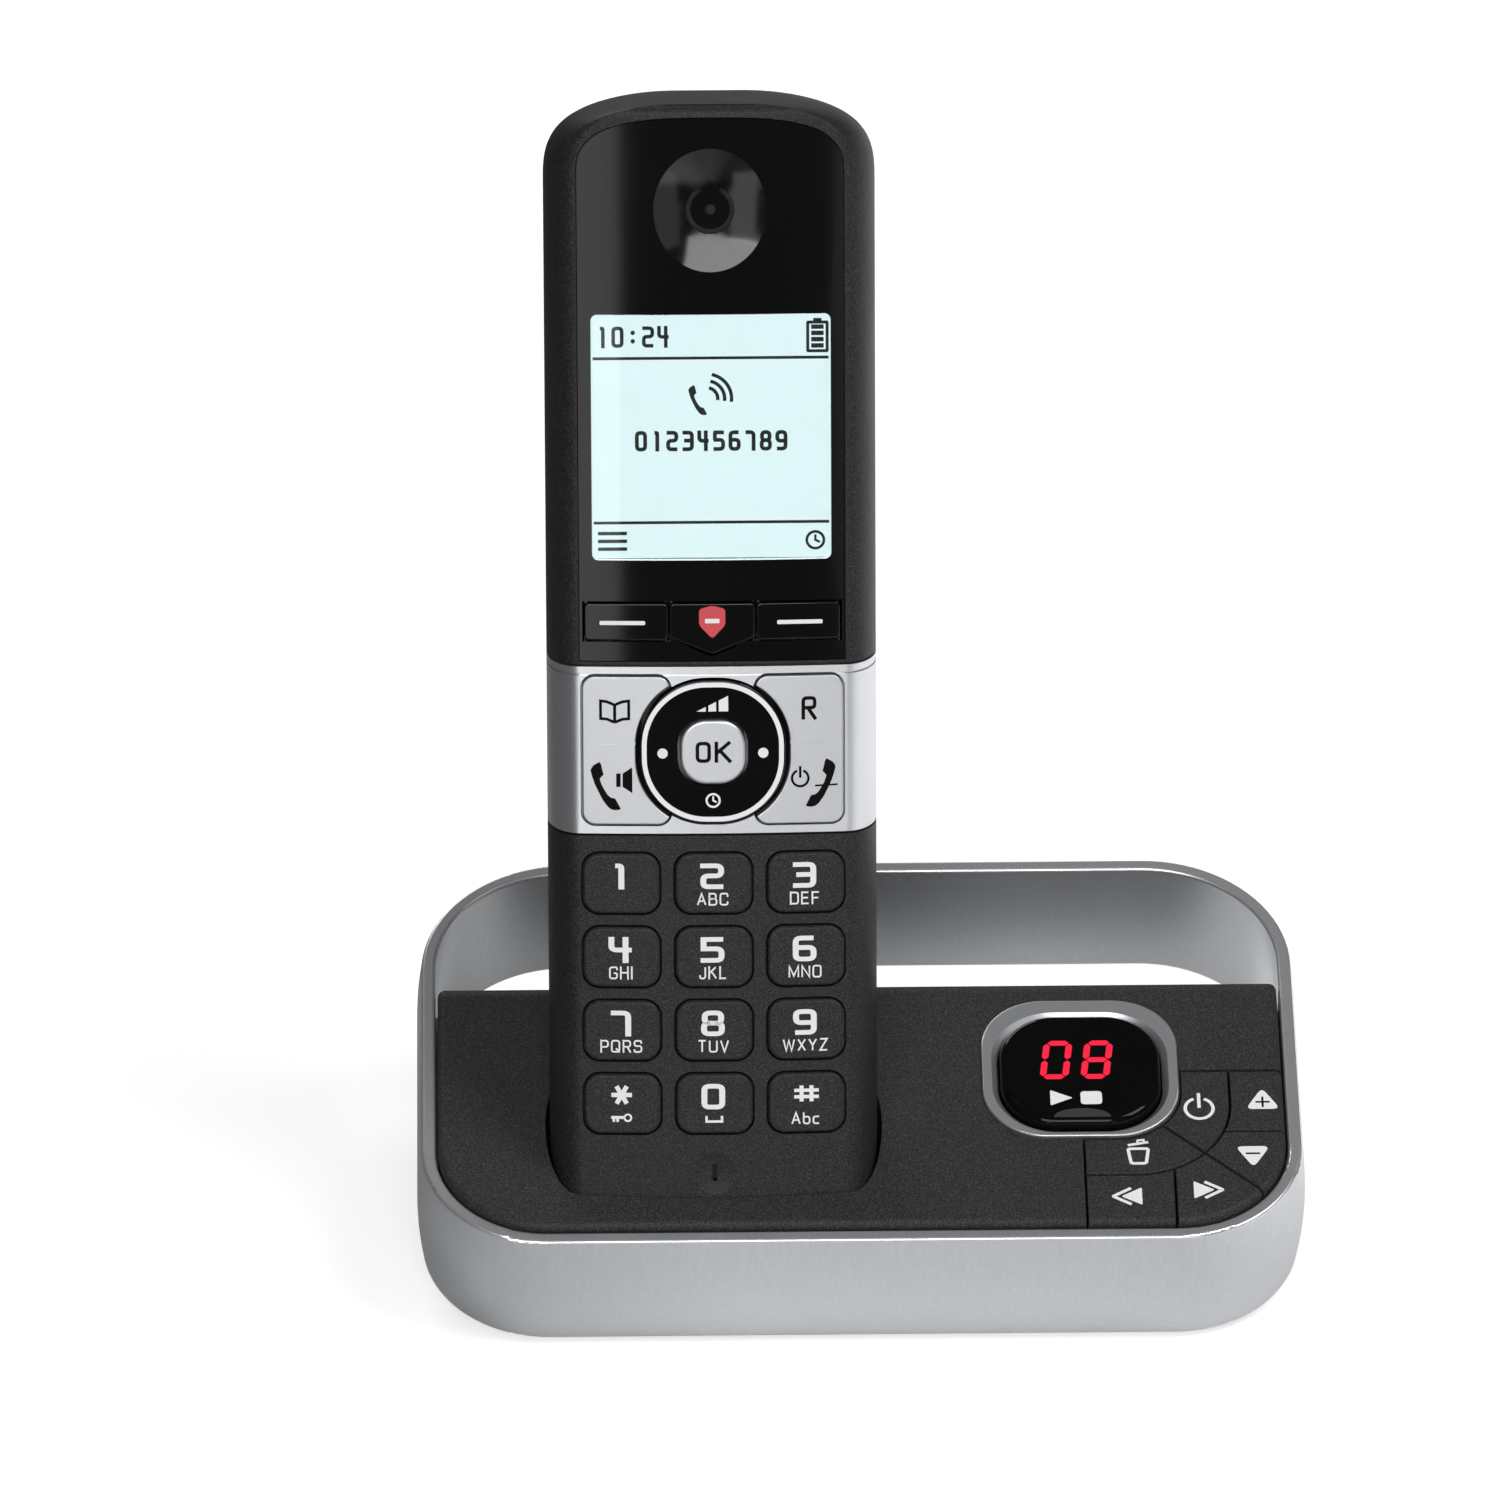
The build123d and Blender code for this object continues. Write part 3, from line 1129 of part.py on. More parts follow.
def trim_blank(proud):
    """Ring of silver trim, down to its groove's floor."""
    ring = nav_offset(NAV_TRIM_OUTER) - nav_offset(NAV_TRIM_INNER)
    layer = NAV_PROUD + proud
    reach = NAV_WIDTH
    body = sunk(ring, -layer - 1, FRONT_WALL) & crowned(-layer, NAV_HEIGHT - reach, NAV_HEIGHT + reach)
    return body - crowned(NAV_TRIM_DEPTH - NAV_PROUD, NAV_HEIGHT - 2 * reach, NAV_HEIGHT + 2 * reach)


def make_nav_pad():
    """Rubber ring under the four way ring, with room for it to rock."""
    front = NAV_BODY_BACK + KEY_EDGE
    pad = peg(0, NAV_HEIGHT, NAV_PAD_OUTER, front + NAV_PAD_GAP, front + NAV_PAD_THICK)
    return pad - peg(0, NAV_HEIGHT, NAV_PAD_INNER, front - 1, FAR)


def make_ok_key():
    """Middle key with its flange under the ring."""
    outline = nav_outline(OK_WIDTH, OK_RADIUS)
    cap = sunk(outline, -OK_PROUD - 1, NAV_BODY_BACK + KEY_EDGE + ROCK_GAP)
    cap = cap & crowned(-OK_PROUD, NAV_HEIGHT - OK_WIDTH, NAV_HEIGHT + OK_WIDTH)
    cap = fillet(cap.faces().sort_by(Axis.Y)[0].edges(), KEY_SOFT_EDGE)
    front = NAV_BODY_BACK + KEY_EDGE + ROCK_GAP
    return cap + peg(0, NAV_HEIGHT, OK_FLANGE_RADIUS, front - KEY_SEAT, front + KEY_SEAT)


def make_function_plate(side):
    """Silver plate that rocks about its middle groove, with a stem over each dome."""
    outline = plate_outline(side)
    cap = sunk(outline, -PLATE_PROUD - 1, ROCK_FLANGE_FRONT)
    cap = cap & crowned(-PLATE_PROUD, PLATE_LOW - 1, PLATE_HIGH + 1)
    cap = fillet(cap.faces().sort_by(Axis.Y)[0].edges(), KEY_EDGE)
    inner = side * NAV_WIDTH / 2
    outer = side * (PLATE_OUTER - PLATE_GROOVE_INSET)
    low_x, high_x = sorted((inner, outer))
    half = PLATE_GROOVE_WIDTH / 2
    groove = block(low_x, high_x, -1, 1 + FRONT_CROWN, PLATE_SEAM - half, PLATE_SEAM + half)
    body = cap - (groove - crowned(PLATE_GROOVE_DEPTH - PLATE_PROUD, PLATE_LOW, PLATE_HIGH))
    flange = plate_outline(side, KEY_FLANGE) - nav_offset(NAV_WIDTH + 4 * KEY_FLANGE)
    back = ROCK_FLANGE_FRONT + KEY_FLANGE_THICK
    body = body + sunk(flange, ROCK_FLANGE_FRONT, back)
    body = body - sunk(ring_room(), ROCK_FLANGE_FRONT - ROCK_RELIEF, FAR)
    for x, z in plate_stem_places(side):
        body = body + peg(x, z, KEY_STEM_RADIUS, back, back + KEY_STEM_LENGTH)
    return body


def plate_stem_places(side):
    """Places of a plate's two stems."""
    x = side * (PLATE_OUTER + NAV_WIDTH / 2 + KEY_FLANGE) / 2
    quarter = (PLATE_HIGH - PLATE_LOW) / 4
    middle = (PLATE_HIGH + PLATE_LOW) / 2
    return (x, middle - quarter), (x, middle + quarter)


def dome_places():
    """Places of all domes on the handset's mat."""
    places = [(x, z) for name, x, z in number_key_places()]
    places.extend(soft_stem_place(outline) for outline in soft_key_outlines().values())
    for side in (-1, 1):
        places.extend(plate_stem_places(side))
    return places


def make_handset_mat():
    """Rubber mat under the handset's keys."""
    half = KEYMAT_WIDTH / 2
    low = KEY_ROW_LOW - KEY_HEIGHT / 2 - KEYMAT_MARGIN
    high = SOFT_HIGH + KEYMAT_MARGIN
    body = sunk(rectangle(-half, half, low, high, KEYMAT_MARGIN), KEYMAT_FRONT, PCB_FRONT)
    for x, z in dome_places():
        body = body + peg(x, z, DOME_RADIUS, KEYMAT_FRONT - KEYMAT_DOME, PCB_FRONT)
    return body


def make_handset_board():
    """Long board between the mat and the battery tray."""
    half = PCB_WIDTH / 2
    high = HANDSET_LENGTH - PCB_TOP_MARGIN
    board = sunk(rectangle(-half, half, PCB_LOW, high, KEYMAT_MARGIN), PCB_FRONT, PCB_BACK)
    for x, z in HANDSET_SCREWS:
        board = board - peg(x, z, HANDSET_BOSS_RADIUS + BOARD_GAP, 0, PARTING)
    return board


def make_earpiece():
    """Receiver capsule behind the ear dish."""
    body = peg(0, EAR_HEIGHT, EARPIECE_RADIUS, FRONT_WALL + SEAT_GAP, PCB_FRONT)
    return body - peg(0, EAR_HEIGHT, EAR_CAVITY_RADIUS, FRONT_WALL - 1, FRONT_WALL + MIC_SLOT)


def make_microphone():
    """Microphone capsule behind its slot."""
    return peg(0, (MIC_LOW + MIC_HIGH) / 2, MIC_RADIUS, FRONT_WALL, PCB_FRONT)


def make_ringer():
    """Loudspeaker for hands free use, on the rear shell."""
    back = HANDSET_DEPTH - COVER_WALL
    body = peg(0, RINGER_HEIGHT, RINGER_RADIUS, back - RINGER_THICK / 2, back)
    return body + peg(0, RINGER_HEIGHT, RINGER_RADIUS / 2, back - RINGER_THICK, back)


def make_cells():
    """Two cells, side by side, pointing opposite ways."""
    cells = []
    low = TRAY_LOW + CONTACT_SHEET + CONTACT_SPRING
    for side in (-1, 1):
        x = side * CELL_PITCH / 2
        start = low if side < 0 else low + CELL_NUB
        start = start - (CONTACT_SPRING if side > 0 else 0)
        body = post(x, CELL_Y, CELL_RADIUS, start, start + CELL_LENGTH)
        nub_low = start + CELL_LENGTH if side < 0 else start - CELL_NUB
        cells.append(body + post(x, CELL_Y, CELL_NUB_RADIUS, nub_low, nub_low + CELL_NUB))
    return joined(cells)


def make_battery_contacts():
    """Contact sheets at both ends of the tray, with a spring for each cell's flat end."""
    sheets = []
    half = TRAY_HALF - CELL_GAP
    for low in (TRAY_LOW, TRAY_HIGH - CONTACT_SHEET):
        sheet = block(-half, half, CELL_Y - CELL_RADIUS / 2, CELL_Y + CELL_RADIUS / 2, low, low + CONTACT_SHEET)
        sheets.append(sheet)
    spring = CONTACT_SPRING / 2
    low_spring = Pos(-CELL_PITCH / 2, CELL_Y, TRAY_LOW + CONTACT_SHEET + spring)
    high_spring = Pos(CELL_PITCH / 2, CELL_Y, TRAY_HIGH - CONTACT_SHEET - spring)
    narrow = CONTACT_SPRING_RADIUS / 2
    sheets[0] = sheets[0] + low_spring * Cone(CONTACT_SPRING_RADIUS, narrow, CONTACT_SPRING)
    sheets[1] = sheets[1] + high_spring * Cone(narrow, CONTACT_SPRING_RADIUS, CONTACT_SPRING)
    return joined(sheets)


def make_handset_screws():
    """Screws from the rear shell into the front shell."""
    screws = []
    for x, z in HANDSET_SCREWS:
        head = peg(x, z, SCREW_HEAD_RADIUS, HANDSET_HEAD_SEAT, HANDSET_HEAD_SEAT + SCREW_HEAD_HEIGHT)
        shank = peg(x, z, SCREW_RADIUS, PARTING - SCREW_BITE, HANDSET_HEAD_SEAT)
        screws.append(head + shank)
    return joined(screws)


def charge_plates(gap):
    """The two contact plates in the handset's lower end."""
    for side in (-1, 1):
        half = PLATE_CONTACT_WIDTH / 2
        x = side * PLATE_CONTACT_X
        front = PLATE_CONTACT_Y - PLATE_CONTACT_DEPTH / 2
        back = PLATE_CONTACT_Y + PLATE_CONTACT_DEPTH / 2
        yield block(x - half, x + half, front, back, gap, PLATE_CONTACT_THICK)


def make_handset_contacts():
    """Charge plates, just inside the lower end's face."""
    return joined(charge_plates(SPRING_TIP_GAP))


def spring_strip(side, gap):
    """Upright strip of a charging contact, through the cup's floor."""
    half = SPRING_WIDTH / 2 + gap
    x = side * PLATE_CONTACT_X
    thick = SPRING_THICK / 2 + gap
    low = -POCKET_FLOOR_GAP - CUP_WALL - SPRING_TAIL
    return block(x - half, x + half, PLATE_CONTACT_Y - thick, PLATE_CONTACT_Y + thick, low, gap)


def make_charging_contacts():
    """Bent strips: the tip meets the handset's plate and the foot lies under the cup."""
    strips = []
    under = -POCKET_FLOOR_GAP - CUP_WALL
    half = SPRING_WIDTH / 2
    for side in (-1, 1):
        x = side * PLATE_CONTACT_X
        foot = block(
            x - half, x + half, PLATE_CONTACT_Y, PLATE_CONTACT_Y + SPRING_FOOT,
            under - SPRING_TIP_GAP - SPRING_THICK, under - SPRING_TIP_GAP,
        )
        strips.append(spring_strip(side, 0) + foot)
    return joined(strips)


def make_base():
    """Pieces of the base, in the table frame."""
    blank = deck_blank()
    blanks, centres = deck_key_blanks(blank)
    pieces = {
        "base_ring": DECK * make_base_ring(),
        "base_top_cover": make_top_cover(blank, centres),
        "base_bottom_cover": make_bottom_cover(),
        "base_feet": make_feet(),
        "base_screws": make_base_screws(),
        "base_circuit_board": make_base_board(),
        "base_key_mat": make_base_mat(centres),
        "base_speaker": make_base_speaker(),
        "message_display": make_message_display(),
        "display_bezel": make_bezel(),
        "play_stop_lens": make_lens(),
        "line_socket": make_line_socket(),
        "power_inlet": make_power_inlet(),
        "charging_contacts": STAND * make_charging_contacts(),
    }
    for name, key in make_deck_keys(blanks, centres).items():
        pieces[name] = DECK * key
    return pieces


def make_handset():
    """Pieces of the handset, in the table frame."""
    shell = handset_form(0, 0, FRONT_CROWN) - handset_form(COVER_WALL, FRONT_WALL, 0)
    pieces = {
        "handset_front_cover": make_front_cover(shell),
        "handset_rear_cover": make_rear_cover(shell),
        "handset_band": make_band(),
        "front_panel": make_front_panel(),
        "display_window": make_window(),
        "display_module": make_display_module(),
        "handset_circuit_board": make_handset_board(),
        "handset_key_mat": make_handset_mat(),
        "earpiece": make_earpiece(),
        "microphone": make_microphone(),
        "handset_loudspeaker": make_ringer(),
        "battery_cells": make_cells(),
        "battery_contacts": make_battery_contacts(),
        "battery_door": make_battery_door(),
        "handset_contacts": make_handset_contacts(),
        "handset_screws": make_handset_screws(),
        "navigation_ring": make_nav_ring(),
        "navigation_trim": trim_blank(NAV_TRIM_PROUD),
        "navigation_pad": make_nav_pad(),
        "ok_key": make_ok_key(),
        "function_plate_left": make_function_plate(-1),
        "function_plate_right": make_function_plate(1),
    }
    for name, x, z in number_key_places():
        pieces[name] = make_number_key(x, z)
    for name, outline in soft_key_outlines().items():
        pieces[name] = make_soft_key(outline)
    return {name: STAND * piece for name, piece in pieces.items()}


def centred(pieces):
    """Move all pieces so that the whole stands on z = 0 over the origin."""
    boxes = [piece.bounding_box() for piece in pieces.values()]
    low_y = min(box.min.Y for box in boxes)
    high_y = max(box.max.Y for box in boxes)
    low_x = min(box.min.X for box in boxes)
    high_x = max(box.max.X for box in boxes)
    shift = Pos(-(low_x + high_x) / 2, -(low_y + high_y) / 2, 0)
    return {name: shift * piece for name, piece in pieces.items()}, shift


PIECES, SHIFT = centred({**make_base(), **make_handset()})
os.makedirs("parts", exist_ok=True)
for node, piece in PIECES.items():
    export_step(piece, f"parts/{node}.step")
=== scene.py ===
import json
from math import cos, hypot, pi, radians, sin, sqrt

import bpy
from bpy.props import FloatProperty, FloatVectorProperty, PointerProperty
from mathutils import Matrix, Vector


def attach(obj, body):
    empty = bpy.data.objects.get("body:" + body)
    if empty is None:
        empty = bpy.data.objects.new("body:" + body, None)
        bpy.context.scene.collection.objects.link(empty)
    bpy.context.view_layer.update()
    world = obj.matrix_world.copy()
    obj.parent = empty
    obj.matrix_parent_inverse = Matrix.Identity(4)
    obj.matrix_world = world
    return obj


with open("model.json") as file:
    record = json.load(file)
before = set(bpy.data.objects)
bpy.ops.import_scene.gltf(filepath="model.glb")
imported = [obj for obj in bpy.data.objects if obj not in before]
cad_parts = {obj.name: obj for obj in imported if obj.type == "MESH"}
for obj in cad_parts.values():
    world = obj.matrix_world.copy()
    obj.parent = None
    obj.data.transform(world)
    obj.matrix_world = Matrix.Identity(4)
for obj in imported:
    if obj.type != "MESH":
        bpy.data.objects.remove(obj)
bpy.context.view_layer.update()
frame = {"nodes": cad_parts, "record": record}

bl_info = {
    "name": "Cordless Phone Finisher",
    "version": (1, 0, 0),
    "blender": (4, 5, 0),
    "location": "View3D > Sidebar > Phone",
    "description": "Finishes and prints a cordless handset and its message base, and sets up their studio",
    "category": "Object",
}

MM = 0.001
JOINTS = {joint["name"]: joint for joint in frame["record"]["behaviour"]["joints"]}
UP = Vector(JOINTS["handset_lift"]["axis"])
INWARD = Vector(JOINTS["key_5_press"]["axis"])
DECK_OUT = -Vector(JOINTS["power_key_press"]["axis"])
DIGIT_KEYS = ("1", "2", "3", "4", "5", "6", "7", "8", "9", "star", "0", "hash")
SOFT_KEYS = ("soft_key_left", "soft_key_middle", "soft_key_right")
DECK_KEYS = ("power_key", "plus_key", "minus_key", "delete_key", "rewind_key", "forward_key")


class PhoneSizes(bpy.types.PropertyGroup):
    """Sizes that place the prints on the handset and on the deck."""

    crown_radius: FloatProperty(
        name="Face crown", description="Radius of the handset's crowned face", default=0.20954, unit="LENGTH"
    )
    hinge_depth: FloatProperty(
        name="Hinge depth", description="Depth of the function plates' hinge behind the face",
        default=0.0026, unit="LENGTH",
    )
    hinge_height: FloatProperty(
        name="Hinge height", description="Height of that hinge above the handset's lower end",
        default=0.0738, unit="LENGTH",
    )
    ring_middle: FloatProperty(
        name="Ring height", description="Height of the four way ring's middle", default=0.0726, unit="LENGTH"
    )
    key_pitch: FloatProperty(
        name="Key pitch", description="Distance between key columns", default=0.0134, unit="LENGTH"
    )
    key_row_pitch: FloatProperty(
        name="Row pitch", description="Distance between key rows", default=0.01097, unit="LENGTH"
    )
    key_row_low: FloatProperty(
        name="Lowest row", description="Height of the lowest key row", default=0.0201, unit="LENGTH"
    )
    key_proud: FloatProperty(
        name="Key height", description="How far a number key stands out", default=0.0005, unit="LENGTH"
    )
    plate_proud: FloatProperty(
        name="Plate height", description="How far a function plate stands out", default=0.00025, unit="LENGTH"
    )
    ring_proud: FloatProperty(
        name="Ring face", description="How far the four way ring stands out", default=0.0005, unit="LENGTH"
    )
    middle_proud: FloatProperty(
        name="Middle key", description="How far the ring's middle key stands out",
        default=0.0007, unit="LENGTH",
    )
    soft_proud: FloatProperty(
        name="Soft key height", description="How far a soft key stands out", default=0.00025, unit="LENGTH"
    )
    screen_depth: FloatProperty(
        name="Screen depth", description="Depth of the lit ground behind the face",
        default=0.00258, unit="LENGTH",
    )
    screen_gap: FloatProperty(
        name="Screen signs", description="Height of the signs over the lit ground",
        default=0.00005, unit="LENGTH",
    )
    rim_front: FloatProperty(
        name="Rim front", description="Place of the base's front rim along Y", default=-0.03985, unit="LENGTH"
    )
    rim_height: FloatProperty(
        name="Rim height", description="Height of the base's front rim", default=0.0207, unit="LENGTH"
    )
    deck_rise: FloatProperty(
        name="Deck rise", description="Height of the deck over the rim's plane", default=0.0009, unit="LENGTH"
    )
    lens_rise: FloatProperty(
        name="Lens rise", description="Height of the lens over the rim's plane", default=0.0024, unit="LENGTH"
    )
    print_lift: FloatProperty(
        name="Print height", description="Height of a print over its surface", default=0.00003, unit="LENGTH"
    )
    overprint: FloatProperty(
        name="Overprint", description="Height of a second print over the first",
        default=0.00003, unit="LENGTH",
    )
    print_depth: FloatProperty(
        name="Print depth", description="Thickness of a print, with the part that bites into its surface",
        default=0.00006, unit="LENGTH",
    )


class PhoneColours(bpy.types.PropertyGroup):
    """Colours of the finishes and prints."""

    black: FloatVectorProperty(
        name="Grained black", description="Moulded black plastic", size=3, subtype="COLOR",
        default=(0.027, 0.027, 0.0275), min=0, max=1,
    )
    gloss: FloatVectorProperty(
        name="Gloss black", description="Polished black panel", size=3, subtype="COLOR",
        default=(0.003, 0.003, 0.0033), min=0, max=1,
    )
    silver: FloatVectorProperty(
        name="Silver", description="Silver lacquer", size=3, subtype="COLOR",
        default=(0.5, 0.51, 0.525), min=0, max=1,
    )
    screen: FloatVectorProperty(
        name="Screen", description="Lit display ground", size=3, subtype="COLOR",
        default=(0.74, 0.92, 0.93), min=0, max=1,
    )
    ink: FloatVectorProperty(
        name="White print", description="White key legends", size=3, subtype="COLOR",
        default=(0.96, 0.96, 0.96), min=0, max=1,
    )
    digits: FloatVectorProperty(
        name="Red digits", description="Lit message counter", size=3, subtype="COLOR",
        default=(1.0, 0.012, 0.05), min=0, max=1,
    )
    shield: FloatVectorProperty(
        name="Red badge", description="Badge on the middle soft key", size=3, subtype="COLOR",
        default=(0.70, 0.065, 0.08), min=0, max=1,
    )


def sizes():
    """The sizes in use."""
    return bpy.context.scene.phone_sizes


def colours():
    """The colours in use."""
    return bpy.context.scene.phone_colours


# Shader maths


class Signal:
    """A socket's value in a finish: arithmetic on it adds Math nodes."""

    def __init__(self, finish, socket):
        self.finish = finish
        self.socket = socket

    def _math(self, operation, first, second):
        return self.finish.node("ShaderNodeMath", {"operation": operation}, {0: first, 1: second})

    def __add__(self, other):
        return self._math("ADD", self, other)

    def __radd__(self, other):
        return self._math("ADD", other, self)

    def __sub__(self, other):
        return self._math("SUBTRACT", self, other)

    def __rsub__(self, other):
        return self._math("SUBTRACT", other, self)

    def __mul__(self, other):
        return self._math("MULTIPLY", self, other)

    def __rmul__(self, other):
        return self._math("MULTIPLY", other, self)

    def __gt__(self, other):
        return self._math("GREATER_THAN", self, other)

    def __lt__(self, other):
        return self._math("LESS_THAN", self, other)


class Nodes:
    """A node tree that is filled through one method."""

    def __init__(self, tree):
        self.tree = tree

    def node(self, kind, settings=None, inputs=None, output=0):
        """Add a node, set it up, feed its sockets and give back one of its outputs."""
        made = self.tree.nodes.new(kind)
        for key, value in (settings or {}).items():
            setattr(made, key, value)
        for key, value in (inputs or {}).items():
            self.feed(made.inputs[key], value)
        return Signal(self, made.outputs[output])

    def feed(self, socket, value):
        """Link a signal to a socket or set the socket's value."""
        if isinstance(value, Signal):
            self.tree.links.new(value.socket, socket)
        elif socket.type == "RGBA":
            socket.default_value = (*value, 1)
        else:
            socket.default_value = value


class Finish(Nodes):
    """A procedural material round one Principled shader."""

    def __init__(self, name):
        self.material = bpy.data.materials.new(name)
        self.material.use_nodes = True
        super().__init__(self.material.node_tree)
        self.shader = self.tree.nodes["Principled BSDF"]
        self.output = self.tree.nodes["Material Output"]

    def set(self, **values):
        """Feed sockets of the Principled shader by their names."""
        for key, value in values.items():
            self.feed(self.shader.inputs[key.replace("_", " ")], value)
        return self

    def place(self):
        """Object coordinates."""
        return self.node("ShaderNodeTexCoord", output=3)

    def along(self, axis):
        """One of the object coordinates."""
        return self.node("ShaderNodeSeparateXYZ", {}, {0: self.place()}, output=axis)

    def stretched(self, scale, turn=(0, 0, 0)):
        return self.node("ShaderNodeMapping", {}, {"Vector": self.place(), "Rotation": turn, "Scale": scale})

    def noise(self, scale, detail=2.0, roughness=0.5, vector=None):
        inputs = {"Vector": vector or self.place(), "Scale": scale, "Detail": detail, "Roughness": roughness}
        return self.node("ShaderNodeTexNoise", {}, inputs)

    def blend(self, mask, first, second):
        inputs = {0: mask, 6: first, 7: second}
        return self.node("ShaderNodeMix", {"data_type": "RGBA"}, inputs, output=2)

    def bump(self, height, strength, distance):
        inputs = {"Strength": strength, "Distance": distance, "Height": height}
        self.set(Normal=self.node("ShaderNodeBump", {}, inputs))


def shade(colour, factor):
    """A colour made lighter or darker."""
    return tuple(min(1.0, part * factor) for part in colour)


def grained_black(name, colour, roughness):
    """Moulded plastic with a fine spark grain and faint handling marks."""
    finish = Finish(name)
    grain = finish.noise(5200, 3.0, 0.6)
    cloud = finish.noise(38, 3.0)
    spark = (grain - 0.47) * 5.0
    finish.set(Base_Color=finish.blend(spark, shade(colour, 0.55), shade(colour, 2.2)))
    finish.set(Roughness=roughness + (cloud - 0.5) * 0.12 + (grain - 0.5) * 0.2)
    finish.set(Specular_IOR_Level=0.2)
    finish.bump(grain, strength=0.22, distance=0.0001)
    return finish.material


def gloss_black(name, colour, specular=0.38):
    """Polished plastic with faint smears in its gloss."""
    finish = Finish(name)
    smear = finish.noise(55, 4.0, 0.6, finish.stretched((1.0, 1.0, 0.35), (0.3, 0.2, 0.5)))
    finish.set(Base_Color=finish.blend(smear, colour, shade(colour, 1.35)))
    finish.set(Roughness=0.05 + smear * 0.06)
    finish.set(Specular_IOR_Level=specular)
    return finish.material


def silver_lacquer(name, colour, roughness, streak=0.0, metal=0.9):
    """Satin silver lacquer: fine flakes, and streaks along the part where it is brushed."""
    finish = Finish(name)
    flake = finish.noise(7000, 2.0, 0.6)
    lines = finish.noise(1.0, 2.0, 0.6, finish.stretched((2400, 2400, 26)))
    tone = 0.5 + (flake - 0.5) * 0.7 + (lines - 0.5) * streak
    finish.set(Base_Color=finish.blend(tone, shade(colour, 0.84), shade(colour, 1.14)))
    finish.set(Metallic=metal, Roughness=roughness + (flake - 0.5) * 0.1 + (lines - 0.5) * streak * 0.2)
    finish.bump(flake + lines * streak, strength=0.025, distance=0.0001)
    return finish.material


def printed(name, colour, roughness=0.45, specular=0.5):
    """Screen print with slight unevenness."""
    finish = Finish(name)
    speck = finish.noise(1500, 2.0)
    finish.set(Base_Color=finish.blend(speck, shade(colour, 0.93), colour))
    finish.set(Roughness=roughness + (speck - 0.5) * 0.1)
    finish.set(Specular_IOR_Level=specular)
    return finish.material


def lit(name, colour, strength):
    """Lit print or segment with a slight cloud in its light."""
    finish = Finish(name)
    cloud = finish.noise(260, 2.0)
    finish.set(Base_Color=shade(colour, 0.05), Roughness=0.4)
    finish.set(Emission_Color=finish.blend(cloud, shade(colour, 0.96), colour))
    finish.set(Emission_Strength=strength)
    return finish.material


def clear_cover(name):
    """Clear polished sheet."""
    finish = Finish(name)
    smear = finish.noise(70, 3.0)
    finish.set(Base_Color=(0.95, 0.98, 0.98), Roughness=0.01 + smear * 0.03)
    finish.set(Transmission_Weight=1.0, IOR=1.3)
    return finish.material


def rubber(name):
    """Dull rubber with a chalky bloom."""
    finish = Finish(name)
    bloom = finish.noise(420, 4.0)
    finish.set(Base_Color=finish.blend(bloom, (0.016, 0.016, 0.016), (0.04, 0.04, 0.041)))
    finish.set(Roughness=0.72 + bloom * 0.2)
    finish.bump(bloom, strength=0.15, distance=0.0002)
    return finish.material


def circuit_board(name):
    """Solder mask with copper tracks showing through."""
    finish = Finish(name)
    tones = {"Color1": (0, 0, 0), "Color2": (0.25, 0.25, 0.25), "Mortar": (1, 1, 1)}
    inputs = {"Vector": finish.place(), "Scale": 210.0, "Mortar Size": 0.025, **tones}
    track = finish.node("ShaderNodeTexBrick", {"offset": 0.37}, inputs, output=1)
    cloud = finish.noise(300, 2.0)
    finish.set(Base_Color=finish.blend(track * 0.6 + cloud * 0.2, (0.012, 0.09, 0.035), (0.05, 0.24, 0.1)))
    finish.set(Roughness=0.32 + cloud * 0.15)
    finish.bump(track, strength=0.2, distance=0.0001)
    return finish.material


def plated_steel(name):
    """Plated sheet with drawn lines."""
    finish = Finish(name)
    lines = finish.noise(1.0, 3.0, 0.6, finish.stretched((5200, 300, 300)))
    finish.set(Base_Color=finish.blend(lines, (0.46, 0.46, 0.45), (0.72, 0.71, 0.69)), Metallic=1.0)
    finish.set(Roughness=0.22 + lines * 0.2)
    finish.bump(lines, strength=0.08, distance=0.0001)
    return finish.material


def cell_sleeve(name):
    """Shrink sleeve in two plain colours."""
    finish = Finish(name)
    upper = finish.along(2) > 0.075
    cloud = finish.noise(180, 2.0)
    finish.set(Base_Color=finish.blend(upper, (0.02, 0.16, 0.09), (0.42, 0.43, 0.42)))
    finish.set(Roughness=0.25 + cloud * 0.15)
    return finish.material


def moulded_grey(name, colour):
    """Plain moulded housing of an inner module."""
    finish = Finish(name)
    cloud = finish.noise(240, 3.0)
    finish.set(Base_Color=finish.blend(cloud, shade(colour, 0.8), shade(colour, 1.15)))
    finish.set(Roughness=0.45 + cloud * 0.15)
    finish.bump(cloud, strength=0.05, distance=0.0001)
    return finish.material


